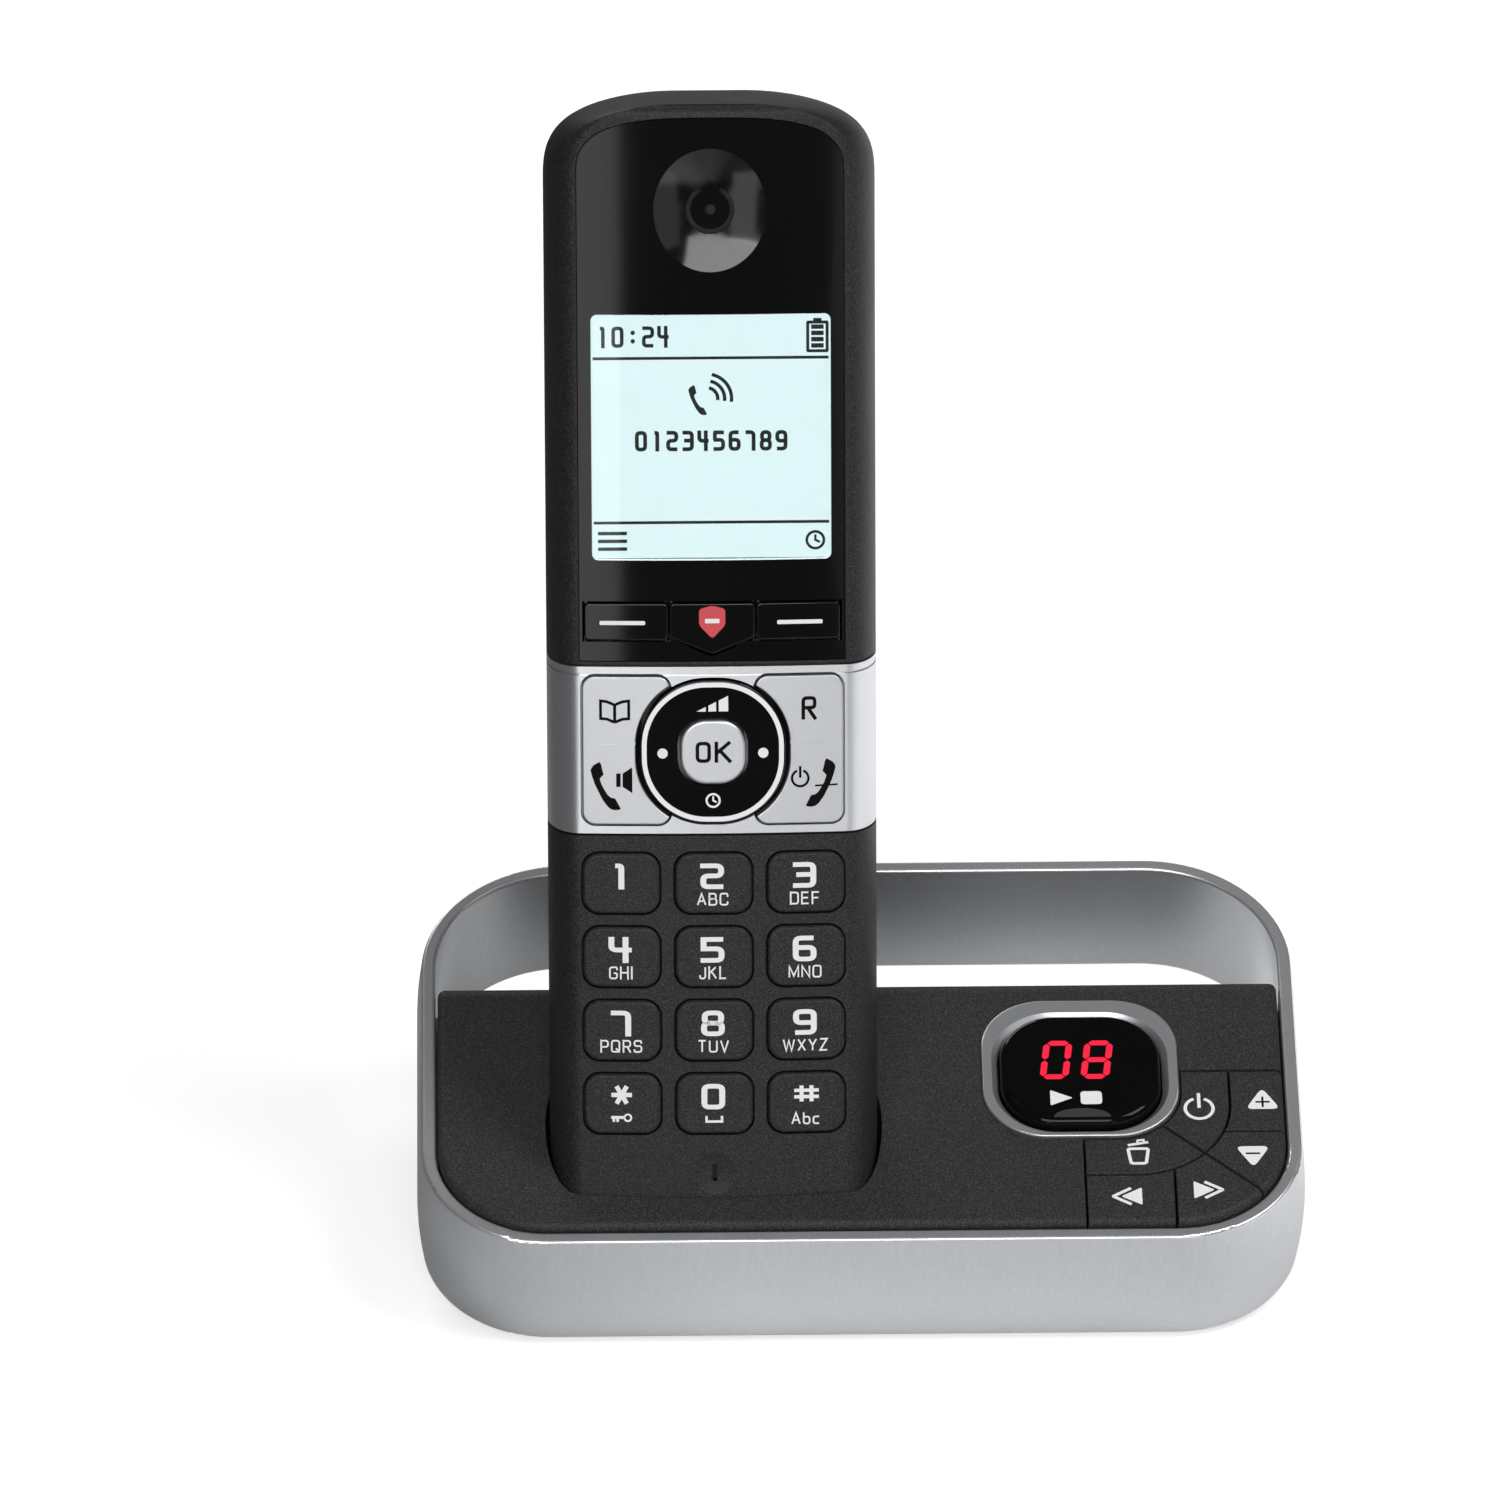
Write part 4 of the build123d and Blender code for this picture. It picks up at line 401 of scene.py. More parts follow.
def pale_floor(name):
    """Pale floor: white to the camera; to reflections painted shade on its left, painted light on its right
    and behind.
    """
    finish = Finish(name)
    seen = finish.node("ShaderNodeLightPath", output="Is Camera Ray")
    shine = finish.node("ShaderNodeLightPath", output="Is Glossy Ray")
    pale = finish.blend(finish.noise(3.0, 2.0), (0.80, 0.80, 0.80), (0.82, 0.82, 0.82))
    across = finish.along(0)
    painted_shade_up_to, painted_light_from, fade = -0.13, 0.05, 9.0
    back = finish.node("ShaderNodeClamp", {}, {0: finish.along(1) * 15.0})
    # Painted shade in reflections: glossy rays see the floor dark on its left.
    mirrored = shine * ((across - painted_shade_up_to) * fade)
    finish.set(Base_Color=finish.blend(seen + mirrored, (0.14, 0.14, 0.14), pale), Roughness=0.6)
    finish.set(Specular_IOR_Level=0.1)
    matt = Signal(finish, finish.shader.outputs[0])
    glow = finish.node("ShaderNodeEmission", {}, {"Color": (1, 1, 1), "Strength": 0.58})
    bright = finish.node("ShaderNodeAddShader", {}, {0: matt, 1: glow})
    # Painted light in reflections: glossy rays see the floor glow on its right and behind.
    share = seen + shine * ((across - painted_light_from) * fade + back)
    surface = finish.node("ShaderNodeMixShader", {}, {0: share, 1: matt, 2: bright})
    finish.feed(finish.output.inputs["Surface"], surface)
    return finish.material


FINISHES = {}


def coat(nodes, name):
    """Give CAD nodes a finish."""
    for node in nodes:
        part = frame["nodes"][node]
        for slot in part.material_slots:
            slot.material = FINISHES[name]


# Prints: flat shapes in millimetres, laid on a surface


CORNER_STEPS = 4
SHARPEST_MITRE = 0.4


class Print:
    """Flat shapes of one legend, in millimetres."""

    def __init__(self):
        self.faces = []

    def shape(self, points):
        """A filled outline."""
        self.faces.append([tuple(point) for point in points])
        return self

    def disc(self, x, y, radius, sides=28):
        """A filled circle."""
        turns = [2 * pi * step / sides for step in range(sides)]
        return self.shape((x + radius * cos(turn), y + radius * sin(turn)) for turn in turns)

    def bar(self, x0, y0, x1, y1, width):
        """A straight line with square ends."""
        length = hypot(x1 - x0, y1 - y0)
        dx, dy = (y0 - y1) / length * width / 2, (x1 - x0) / length * width / 2
        return self.shape(((x0 - dx, y0 - dy), (x1 - dx, y1 - dy), (x1 + dx, y1 + dy), (x0 + dx, y0 + dy)))

    def box(self, x0, y0, x1, y1, radius=0.0):
        """A rectangle, with rounded corners if it has a radius."""
        corners = [(x0, y0), (x1, y0), (x1, y1), (x0, y1)]
        return self.shape(rounded(corners, radius) if radius else corners)

    def stroke(self, points, width, radius=0.0, closed=False):
        """A line of even width with rounded corners."""
        line = rounded(points, radius, closed) if radius else list(points)
        if closed:
            line.append(line[0])
        sides = []
        count = len(line)
        for index, (x, y) in enumerate(line):
            before = line[index - 1] if index else (line[-2] if closed else line[0])
            after = line[index + 1] if index + 1 < count else (line[1] if closed else line[-1])
            leaving = unit(after[0] - x, after[1] - y)
            first = unit(x - before[0], y - before[1]) if before != (x, y) else leaving
            second = leaving if after != (x, y) else first
            middle = unit(first[0] + second[0], first[1] + second[1])
            reach = width / 2 / max(SHARPEST_MITRE, middle[0] * first[0] + middle[1] * first[1])
            dx, dy = -middle[1] * reach, middle[0] * reach
            sides.append(((x + dx, y + dy), (x - dx, y - dy)))
        for (a, b), (c, d) in zip(sides, sides[1:]):
            self.shape((a, b, d, c))
        return self

    def arc(self, x, y, radius, start, stop, width):
        """Part of a ring between two angles in degrees."""
        steps = max(4, int(abs(stop - start) / 9))
        line = []
        for step in range(steps + 1):
            angle = radians(start + (stop - start) * step / steps)
            line.append((x + radius * cos(angle), y + radius * sin(angle)))
        return self.stroke(line, width)

    def moved(self, x, y, scale=1.0, stretch=1.0):
        """A copy at another place, scaled and stretched sideways."""
        made = Print()
        wide = scale * stretch
        made.faces = [[(x + px * wide, y + py * scale) for px, py in face] for face in self.faces]
        return made

    def add(self, other):
        """Take up another drawing's shapes."""
        self.faces.extend(other.faces)
        return self


def unit(x, y):
    """A direction of length one."""
    length = hypot(x, y) or 1.0
    return x / length, y / length


def rounded(points, radius, closed=True):
    """Replace the corners of an outline by arcs."""
    line = []
    count = len(points)
    for index, (x, y) in enumerate(points):
        if not closed and index in (0, count - 1):
            line.append((x, y))
            continue
        bx, by = points[index - 1]
        ax, ay = points[(index + 1) % count]
        into, out = unit(x - bx, y - by), unit(ax - x, ay - y)
        cut = min(radius, hypot(x - bx, y - by) / 2, hypot(ax - x, ay - y) / 2)
        for step in range(CORNER_STEPS + 1):
            share = step / CORNER_STEPS
            p = (x - into[0] * cut * (1 - share), y - into[1] * cut * (1 - share))
            q = (x + out[0] * cut * share, y + out[1] * cut * share)
            line.append((p[0] + (q[0] - p[0]) * share, p[1] + (q[1] - p[1]) * share))
    return line


def handset_foot():
    """Lower end of the handset's face, from the function plates' hinge."""
    hinge = Vector(JOINTS["function_plate_left_rock"]["pos_m"])
    return hinge - INWARD * sizes().hinge_depth - UP * sizes().hinge_height


def on_face(proud):
    """Map millimetres on the handset's face (x, height) to the shared frame."""
    foot = handset_foot()
    radius = sizes().crown_radius
    lift = proud + sizes().print_lift

    def place(x, y, sink=0.0):
        across = x * MM
        depth = radius - sqrt((radius + lift - sink) ** 2 - across**2)
        return foot + Vector((across, 0, 0)) + INWARD * depth + UP * (y * MM)

    return place


def on_screen(depth):
    """Map millimetres at a depth behind the handset's face to the shared frame."""
    foot = handset_foot()
    level = depth - sizes().print_lift

    def place(x, y, sink=0.0):
        return foot + Vector((x * MM, 0, 0)) + INWARD * (level + sink) + UP * (y * MM)

    return place


def on_deck(height):
    """Map millimetres on the sloping deck (x, up the slope) to the shared frame."""
    slope = Vector((0, DECK_OUT.z, -DECK_OUT.y))
    rim = Vector((0, sizes().rim_front, sizes().rim_height))
    lift = height + sizes().print_lift

    def place(x, y, sink=0.0):
        return rim + Vector((x * MM, 0, 0)) + slope * (y * MM) + DECK_OUT * (lift - sink)

    return place


def lay(name, drawing, place, body, finish):
    """Build a print as a thin closed slab on a surface and let it ride on a body."""
    spots = {}
    tops = []
    for face in drawing.faces:
        turn = sum(x0 * y1 - x1 * y0 for (x0, y0), (x1, y1) in zip(face, face[1:] + face[:1]))
        ring = []
        for x, y in (face if turn > 0 else reversed(face)):
            index = spots.setdefault((round(x, 4), round(y, 4)), len(spots))
            if index not in ring:
                ring.append(index)
        if len(ring) > 2:
            tops.append(ring)
    count = len(spots)
    corners = [place(x, y) for x, y in spots]
    corners += [place(x, y, sizes().print_depth) for x, y in spots]
    edges = [edge for ring in tops for edge in zip(ring, ring[1:] + ring[:1])]
    inner = set(edges)
    faces = tops + [[count + index for index in reversed(ring)] for ring in tops]
    faces += [(a, count + a, count + b, b) for a, b in edges if (b, a) not in inner]
    mesh = bpy.data.meshes.new(name)
    mesh.from_pydata([tuple(corner) for corner in corners], [], faces)
    piece = bpy.data.objects.new(name, mesh)
    bpy.context.scene.collection.objects.link(piece)
    mesh.materials.append(FINISHES[finish])
    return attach(piece, body)


# Drawings of the legends


STROKES = {
    "0": ([((0, 0), (1, 0), (1, 1), (0, 1))], []),
    "1": ([], [((0.24, 1), (0.58, 1), (0.58, -0.12))]),
    "2": ([], [((-0.17, 1), (1, 1), (1, 0.52), (0, 0.52), (0, 0), (1.12, 0))]),
    "3": ([], [((-0.14, 1), (1, 1), (1, 0), (-0.14, 0)), ((0.05, 0.52), (1, 0.52))]),
    "4": ([], [((0, 1.12), (0, 0.5), (1.14, 0.5)), ((0.79, 1.12), (0.79, -0.12))]),
    "5": ([], [((1.1, 1), (-0.17, 1)), ((0, 1), (0, 0.55)), ((-0.17, 0.55), (1, 0.55), (1, 0), (-0.17, 0))]),
    "6": ([], [((1, 1), (0, 1), (0, 0), (1, 0), (1, 0.55), (0, 0.55))]),
    "7": ([], [((-0.06, 1), (0.91, 1), (0.91, -0.12))]),
    "8": ([((0, 0), (1, 0), (1, 0.51), (0, 0.51)), ((0.04, 0.51), (0.96, 0.51), (0.96, 1), (0.04, 1))], []),
    "9": ([], [((1, 0.47), (0, 0.47), (0, 1), (1, 1), (1, 0), (-0.05, 0))]),
}
STEM = ((0, -0.09), (0, 1.09))
GLYPHS = {
    "A": [((0, 0), (0.52, 1), (1.04, 0)), ((0.2, 0.34), (0.84, 0.34))],
    "B": [STEM, ((0, 1), (0.86, 1), (0.86, 0.53), (0, 0.53)), ((0.5, 0.53), (0.94, 0.53), (0.94, 0), (0, 0))],
    "C": [((0.96, 0.7), (0.96, 1), (0, 1), (0, 0), (0.96, 0), (0.96, 0.3))],
    "D": [STEM, ((0, 1), (0.98, 1), (0.98, 0), (0, 0))],
    "E": [STEM, ((0, 1), (0.86, 1)), ((0, 0), (0.88, 0)), ((0, 0.52), (0.8, 0.52))],
    "F": [STEM, ((0, 1), (0.86, 1)), ((0, 0.5), (0.78, 0.5))],
    "G": [((0.94, 0.74), (0.94, 1), (0, 1), (0, 0), (0.94, 0), (0.94, 0.48), (0.52, 0.48))],
    "H": [STEM, ((0.94, -0.09), (0.94, 1.09)), ((0, 0.52), (0.94, 0.52))],
    "I": [STEM],
    "J": [((0.7, 1), (0.7, 0), (0, 0), (0, 0.3))],
    "K": [STEM, ((0.86, 1), (0.06, 0.48)), ((0.3, 0.62), (0.94, 0))],
    "L": [STEM, ((0, 0), (0.78, 0))],
    "M": [((0, 0), (0, 1), (0.6, 0.12), (1.2, 1), (1.2, 0))],
    "N": [((0, 0), (0, 1), (0.96, 0), (0.96, 1))],
    "O": [((0, 0.5), (0, 0), (1, 0), (1, 1), (0, 1), (0, 0.5))],
    "P": [STEM, ((0, 1), (0.9, 1), (0.9, 0.44), (0, 0.44))],
    "Q": [((0, 0.5), (0, 0), (1, 0), (1, 1), (0, 1), (0, 0.5)), ((0.55, 0.32), (1.04, -0.04))],
    "R": [STEM, ((0, 1), (0.9, 1), (0.9, 0.46), (0, 0.46)), ((0.5, 0.46), (0.94, -0.06))],
    "S": [((0.9, 0.76), (0.9, 1), (0, 1), (0, 0.53), (0.94, 0.53), (0.94, 0), (0, 0), (0, 0.24))],
    "T": [((0, 1), (0.98, 1)), ((0.49, 1), (0.49, 0))],
    "U": [((0, 1), (0, 0), (0.96, 0), (0.96, 1))],
    "V": [((0, 1), (0.5, 0), (1, 1))],
    "W": [((0, 1), (0.36, 0), (0.72, 0.92), (1.08, 0), (1.44, 1))],
    "X": [((0, 0), (0.94, 1)), ((0, 1), (0.94, 0))],
    "Y": [((0, 1), (0.48, 0.46), (0.96, 1)), ((0.48, 0.46), (0.48, 0))],
    "Z": [((0, 1), (0.92, 1), (0, 0), (0.94, 0))],
    "b": [((0, 1), (0, 0), (0.78, 0), (0.78, 0.62), (0, 0.62))],
    "c": [((0.76, 0.62), (0, 0.62), (0, 0), (0.76, 0))],
}
SLANTED = "AKMNVWXYZ"
GRID_WIDTH = 0.66
DIGIT_CURVE = 0.9
LETTER_CURVE = 1.5
LETTERS = {
    "2": "ABC", "3": "DEF", "4": "GHI", "5": "JKL", "6": "MNO",
    "7": "PQRS", "8": "TUV", "9": "WXYZ", "hash": "Abc",
}


def digit(drawing, sign, x, y, width, height, line, stem=1.0):
    """Square digit centred on a point, with stems that many times as wide as its bars."""
    loops, lines = STROKES[sign]
    right, top = (width / stem - line) / 2, (height - line) / 2
    made = Print()

    def grid(points):
        return [((2 * px - 1) * right, (2 * py - 1) * top) for px, py in points]

    for loop in loops:
        made.stroke(grid(loop), line, line * DIGIT_CURVE, closed=True)
    for points in lines:
        made.stroke(grid(points), line, line * DIGIT_CURVE)
    return drawing.add(made.moved(x, y, stretch=stem))


def letters(drawing, text, x, y, height, line, gap):
    """Thin square letters centred on a point."""
    tall = height - line
    wide = tall * GRID_WIDTH
    widths = [max(px for points in GLYPHS[sign] for px, py in points) * wide + line for sign in text]
    left = x - (sum(widths) + gap * (len(text) - 1)) / 2
    for sign, width in zip(text, widths):
        for points in GLYPHS[sign]:
            path = [(left + line / 2 + px * wide, y + (py - 0.5) * tall) for px, py in points]
            drawing.stroke(path, line, 0.0 if sign in SLANTED else line * LETTER_CURVE)
        left += width + gap
    return drawing


def digit_row(drawing, text, x, y, width, height, line, gap):
    """Several digits side by side, with a colon where the text has one."""
    dot, dot_rise = line * 0.62, height * 0.2
    for index, sign in enumerate(text):
        centre = x + index * (width + gap)
        if sign == ":":
            drawing.disc(centre, y + dot_rise, dot).disc(centre, y - dot_rise, dot)
        else:
            digit(drawing, sign, centre, y, width, height, line)
    return drawing


def star_and_key():
    """Star with a lock's key under it."""
    made = Print()
    arm, left, high = 1.5, -0.15, 1.4
    for turn in (0, 60, 120):
        dx, dy = arm * cos(radians(turn)), arm * sin(radians(turn))
        made.bar(left - dx, high - dy, left + dx, high + dy, 0.66)
    made.arc(0.73, -2.02, 0.49, 0, 360, 0.28)
    made.bar(-1.69, -1.97, 0.24, -1.97, 0.42)
    return made.box(-1.5, -2.65, -1.12, -2.0).box(-0.95, -2.65, -0.57, -2.0)


def hash_sign():
    """Hash with wide bars."""
    made = Print()
    high, half_width, half_height = 1.4, 1.8, 1.2
    for shift in (-0.48, 0.48):
        made.bar(-half_width, high + shift, half_width, high + shift, 0.5)
        made.bar(shift * 1.5, high - half_height, shift * 1.5, high + half_height, 0.6)
    return made


def receiver():
    """Handset sign: a bent grip between two caps."""
    outer = [
        (-1.7, 3.08), (-2.05, 2.66), (-2.16, 2.3), (-1.93, 1.4), (-1.58, 0.32), (-0.99, -0.94),
        (-0.41, -2.08), (0.29, -3.04), (0.76, -3.43), (1.35, -3.58), (1.93, -3.53), (2.19, -3.36),
    ]
    inner = [
        (1.93, -2.86), (1.4, -1.86), (0.76, -1.72), (0.29, -1.3), (-0.18, -0.52), (-0.53, 0.14),
        (-0.74, 0.74), (-0.82, 1.08), (-0.47, 1.49), (-0.26, 1.7), (-0.43, 2.3), (-0.64, 3.26), (-0.88, 3.56),
    ]
    return Print().shape(outer + inner)


def open_book():
    """Directory sign: an open book in outline."""
    made = Print()
    for side in (-1, 1):
        page = [(0, 1.02), (1.1, 1.5), (2.04, 1.62), (2.04, -1.0), (1.1, -1.08), (0, -1.56)]
        made.stroke([(side * x, y) for x, y in page], 0.42)
    return made.bar(0, 1.1, 0, -1.5, 0.44)


def mains_sign(radius, line):
    """Standby sign: an open ring and a bar."""
    made = Print()
    made.arc(0, 0, radius, 112, 428, line)
    return made.bar(0, radius * 0.06, 0, radius * 1.5, line)


def sound_sign():
    """Loudspeaker sign."""
    made = Print()
    made.box(-1.17, -1.0, -0.53, 1.0, 0.08)
    return made.shape(((-0.24, -0.98), (1.16, -1.92), (1.16, 1.92), (-0.24, 0.98)))


def level_sign():
    """Three rising wedges."""
    made = Print()
    tip, floor, slope = -2.35, -1.15, 0.5
    for left, right in ((tip, -1.0), (-0.62, 0.5), (0.88, 2.25)):
        low, high = (floor + slope * (x - tip) for x in (left, right))
        made.shape(((left, floor), (right, floor), (right, high), (left, low)))
    return made


def clock_sign():
    """Clock sign."""
    made = Print()
    made.arc(0, 0, 0.95, 0, 360, 0.3)
    return made.stroke([(0, 0.62), (0, 0), (0.5, -0.25)], 0.26)


def triangle(way):
    """Rounded triangle that points up or down."""
    outline = [(-2.55, -1.85 * way), (2.55, -1.85 * way), (0, 2.4 * way)]
    return Print().shape(rounded(outline[::way], 1.1))


def double_arrow(sign):
    """Two arrow heads, one open and one full."""
    made = Print()
    made.shape(rounded([(2.3 * sign, 1.75), (2.3 * sign, -1.75), (-0.75 * sign, 0)], 0.3))
    made.stroke([(0.7 * sign, 1.6), (-1.95 * sign, 0), (0.7 * sign, -1.6)], 0.5, 0.2)
    return made


def waste_bin():
    """Delete sign: a bin with its lid ajar."""
    made = Print()
    made.stroke([(-1.5, 0.85), (1.5, 0.85), (1.1, -2.1), (-1.1, -2.1)], 0.5, 0.4, closed=True)
    made.stroke([(-1.5, 1.55), (1.55, 2.15)], 0.44)
    return made.stroke([(-0.1, 1.9), (0, 2.5), (0.85, 2.62), (0.9, 2.1)], 0.34)


def segment_digit(drawing, sign, x, y, width, height, line, slant):
    """Seven segment digit with gaps between its segments."""
    on = {"0": "abcdef", "8": "abcdefg"}[sign]
    w, h, half = width / 2, height / 2, line / 2
    gap = line * 0.12
    runs = {
        "a": ((-w, h), (w, h)), "g": ((-w, 0), (w, 0)), "d": ((-w, -h), (w, -h)),
        "b": ((w, 0), (w, h)), "c": ((w, -h), (w, 0)), "e": ((-w, -h), (-w, 0)), "f": ((-w, 0), (-w, h)),
    }
    for name in on:
        (x0, y0), (x1, y1) = runs[name]
        dx, dy = unit(x1 - x0, y1 - y0)
        x0, y0, x1, y1 = x0 + dx * gap, y0 + dy * gap, x1 - dx * gap, y1 - dy * gap
        px, py = -dy * half, dx * half
        points = [
            (x0, y0), (x0 + dx * half + px, y0 + dy * half + py), (x1 - dx * half + px, y1 - dy * half + py),
            (x1, y1), (x1 - dx * half - px, y1 - dy * half - py), (x0 + dx * half - px, y0 + dy * half - py),
        ]
        drawing.shape((x + px_ + py_ * slant, y + py_) for px_, py_ in points)
    return drawing


class PHONE_OT_finishes(bpy.types.Operator):
    """Make the finishes and coat the CAD nodes with them"""

    bl_idname = "phone.finishes"
    bl_label = "Coat the parts"

    def execute(self, context):
        tint = colours()
        black, gloss, silver = tuple(tint.black), tuple(tint.gloss), tuple(tint.silver)
        FINISHES.update(
            {
                "shell": grained_black("grained black shell", black, roughness=0.5),
                "keys": grained_black("grained black keys", shade(black, 1.02), roughness=0.48),
                "deck": grained_black("grained black deck", shade(black, 1.3), roughness=0.55),
                "gloss": gloss_black("gloss black", gloss),
                "ring": silver_lacquer("silver ring", shade(silver, 1.5), 0.32, streak=0.5, metal=0.8),
                "band": silver_lacquer("silver band", shade(silver, 1.4), 0.34),
                "plate": silver_lacquer("silver plate", shade(silver, 1.12), 0.4),
                "bezel": silver_lacquer("silver bezel", shade(silver, 1.25), 0.42),
                # Partly the trim's pale silver, partly a painted reflection: near-white, mostly non-metal
                # colour stands in for the bright surroundings it mirrors.
                "trim": silver_lacquer("trim with painted reflection", shade(silver, 1.85), 0.45, metal=0.2),
                "window": clear_cover("clear window"),
                "screen": lit("lit screen", tuple(tint.screen), strength=0.95),
                "screen ink": printed("screen ink", (0.004, 0.005, 0.006), roughness=0.7, specular=0.1),
                "white": printed("white print", tuple(tint.ink)),
                "dark": printed("dark print", (0.004, 0.004, 0.004), roughness=0.7, specular=0.08),
                "red": printed("red badge", tuple(tint.shield)),
                "counter": lit("lit counter", tuple(tint.digits), strength=1.1),
                "rubber": rubber("rubber"),
                "board": circuit_board("circuit board"),
                "steel": plated_steel("plated steel"),
                "cells": cell_sleeve("cell sleeve"),
                "module": moulded_grey("module housing", (0.16, 0.16, 0.165)),
                # Near-black: painted shade, so the microphone slot shows black.
                "capsule": moulded_grey("capsule housing in painted shade", (0.006, 0.006, 0.0065)),
                "socket": moulded_grey("socket housing", (0.05, 0.05, 0.052)),
                "lens": gloss_black("smoked lens", gloss, specular=0.12),
                # Lighter grey paints the highlight in the lens's shallow finger recess.
                "notch": gloss_black("finger notch highlight", (0.045, 0.045, 0.047)),
            }
        )
        coat(["handset_front_cover", "handset_rear_cover", "battery_door"], "shell")
        coat(["base_top_cover", "base_bottom_cover", *DECK_KEYS], "deck")
        coat(["key_" + name for name in DIGIT_KEYS], "keys")
        coat(["front_panel", "navigation_ring", *SOFT_KEYS], "gloss")
        coat(["play_stop_lens"], "lens")
        coat(["base_ring"], "ring")
        coat(["handset_band"], "band")
        coat(["function_plate_left", "function_plate_right", "ok_key"], "plate")
        coat(["display_bezel"], "bezel")
        coat(["navigation_trim"], "trim")
        coat(["display_window"], "window")
        coat(["base_feet", "base_key_mat", "handset_key_mat", "navigation_pad"], "rubber")
        coat(["base_circuit_board", "handset_circuit_board"], "board")
        coat(["base_screws", "handset_screws"], "steel")
        coat(["charging_contacts", "handset_contacts", "battery_contacts"], "steel")
        coat(["battery_cells"], "cells")
        coat(["base_speaker", "handset_loudspeaker", "message_display", "display_module"], "module")
        # The capsules' near-black is painted shade, so the microphone slot shows black.
        coat(["earpiece", "microphone"], "capsule")
        coat(["line_socket", "power_inlet"], "socket")
        return {"FINISHED"}


class PHONE_OT_number_prints(bpy.types.Operator):
    """Print digits and letters on the number keys"""

    bl_idname = "phone.number_prints"
    bl_label = "Print number keys"

    def execute(self, context):
        size = sizes()
        place = on_face(size.key_proud)
        for index, name in enumerate(DIGIT_KEYS):
            row, column = divmod(index, 3)
            x = (column - 1) * size.key_pitch / MM
            y = (size.key_row_low + (3 - row) * size.key_row_pitch) / MM
            drawing = Print()
            if name == "star":
                drawing.add(star_and_key())
            elif name == "hash":
                drawing.add(hash_sign())
            else:
                digit(drawing, name, -0.2, 1.13, width=3.46, height=3.81, line=0.69, stem=1.25)
            if name == "0":
                drawing.stroke([(-1.2, -1.76), (-1.2, -2.6), (1.05, -2.6), (1.05, -1.76)], 0.36)
            if name in LETTERS:
                letters(drawing, LETTERS[name], -0.15, -2.29, height=1.9, line=0.24, gap=0.32)
            lay("legend_key_" + name, drawing.moved(x, y), place, "key_" + name, "white")
        return {"FINISHED"}


class PHONE_OT_band_prints(bpy.types.Operator):
    """Print the signs on the function plates, the four way ring and the middle key"""

    bl_idname = "phone.band_prints"
    bl_label = "Print function keys"

    def execute(self, context):
        size = sizes()
        middle = size.ring_middle / MM
        plate = on_face(size.plate_proud)
        line = 0.52
        left = open_book().moved(-14.2, middle + 5.9)
        left.add(receiver().moved(-15.59, middle - 5.1))
        left.add(sound_sign().moved(-12.87, middle - 4.23))
        lay("legend_plate_left", left, plate, "function_plate_left", "dark")
        right = Print()
        stem, arm, low, waist, top = 13.14, 14.8, middle + 4.56, middle + 6.3, middle + 7.74
        right.stroke([(stem, low), (stem, top), (arm, top), (arm, waist), (stem, waist)], line, 0.5)
        right.stroke([(stem + 0.65, waist), (arm + 0.16, low)], line)
        right.add(receiver().moved(15.64, middle - 4.82, stretch=-1.0))
        right.bar(14.8, middle - 5.28, 18.1, middle - 5.14, 0.26)
        right.add(mains_sign(1.19, 0.35).moved(12.66, middle - 4.13))
        lay("legend_plate_right", right, plate, "function_plate_right", "dark")
        ring = level_sign().moved(0, middle + 7.15)
        ring.disc(-7.3, middle - 0.2, 0.75).disc(7.3, middle - 0.2, 0.75)
        ring.add(clock_sign().moved(0, middle - 7.2))
        lay("legend_ring", ring, on_face(size.ring_proud), "navigation_ring", "white")
        okay = Print()
        okay.stroke([(-2.25, -1.3), (-0.55, -1.3), (-0.55, 1.3), (-2.25, 1.3)], line, 0.6, closed=True)
        okay.bar(0.5, -1.55, 0.5, 1.55, line).bar(0.6, -0.1, 2.5, 1.5, line).bar(1.0, 0.25, 2.6, -1.5, line)
        lay("legend_ok", okay.moved(0, middle), on_face(size.middle_proud), "ok_key", "dark")
        return {"FINISHED"}


class PHONE_OT_soft_prints(bpy.types.Operator):
    """Print the dashes and the badge on the soft keys"""

    bl_idname = "phone.soft_prints"
    bl_label = "Print soft keys"

    def execute(self, context):
        place = on_face(sizes().soft_proud)
        over = on_face(sizes().soft_proud + sizes().overprint)
        half, low, high = 3.3, 91.35, 91.95
        for name, x in (("soft_key_left", -13.0), ("soft_key_right", 12.7)):
            dash = Print().box(x - half, low, x + half, high, 0.2)
            lay("legend_" + name, dash, place, name, "white")
        outline = [(-1.9, 93.7), (0, 94.2), (1.9, 93.7), (1.9, 91.3), (0, 89.3), (-1.9, 91.3)]
        lay("badge", Print().shape(rounded(outline, 0.5)), place, "soft_key_middle", "red")
        bar = Print().box(-1.05, 91.6, 1.05, 92.25, 0.15)
        lay("badge_bar", bar, over, "soft_key_middle", "white")
        return {"FINISHED"}


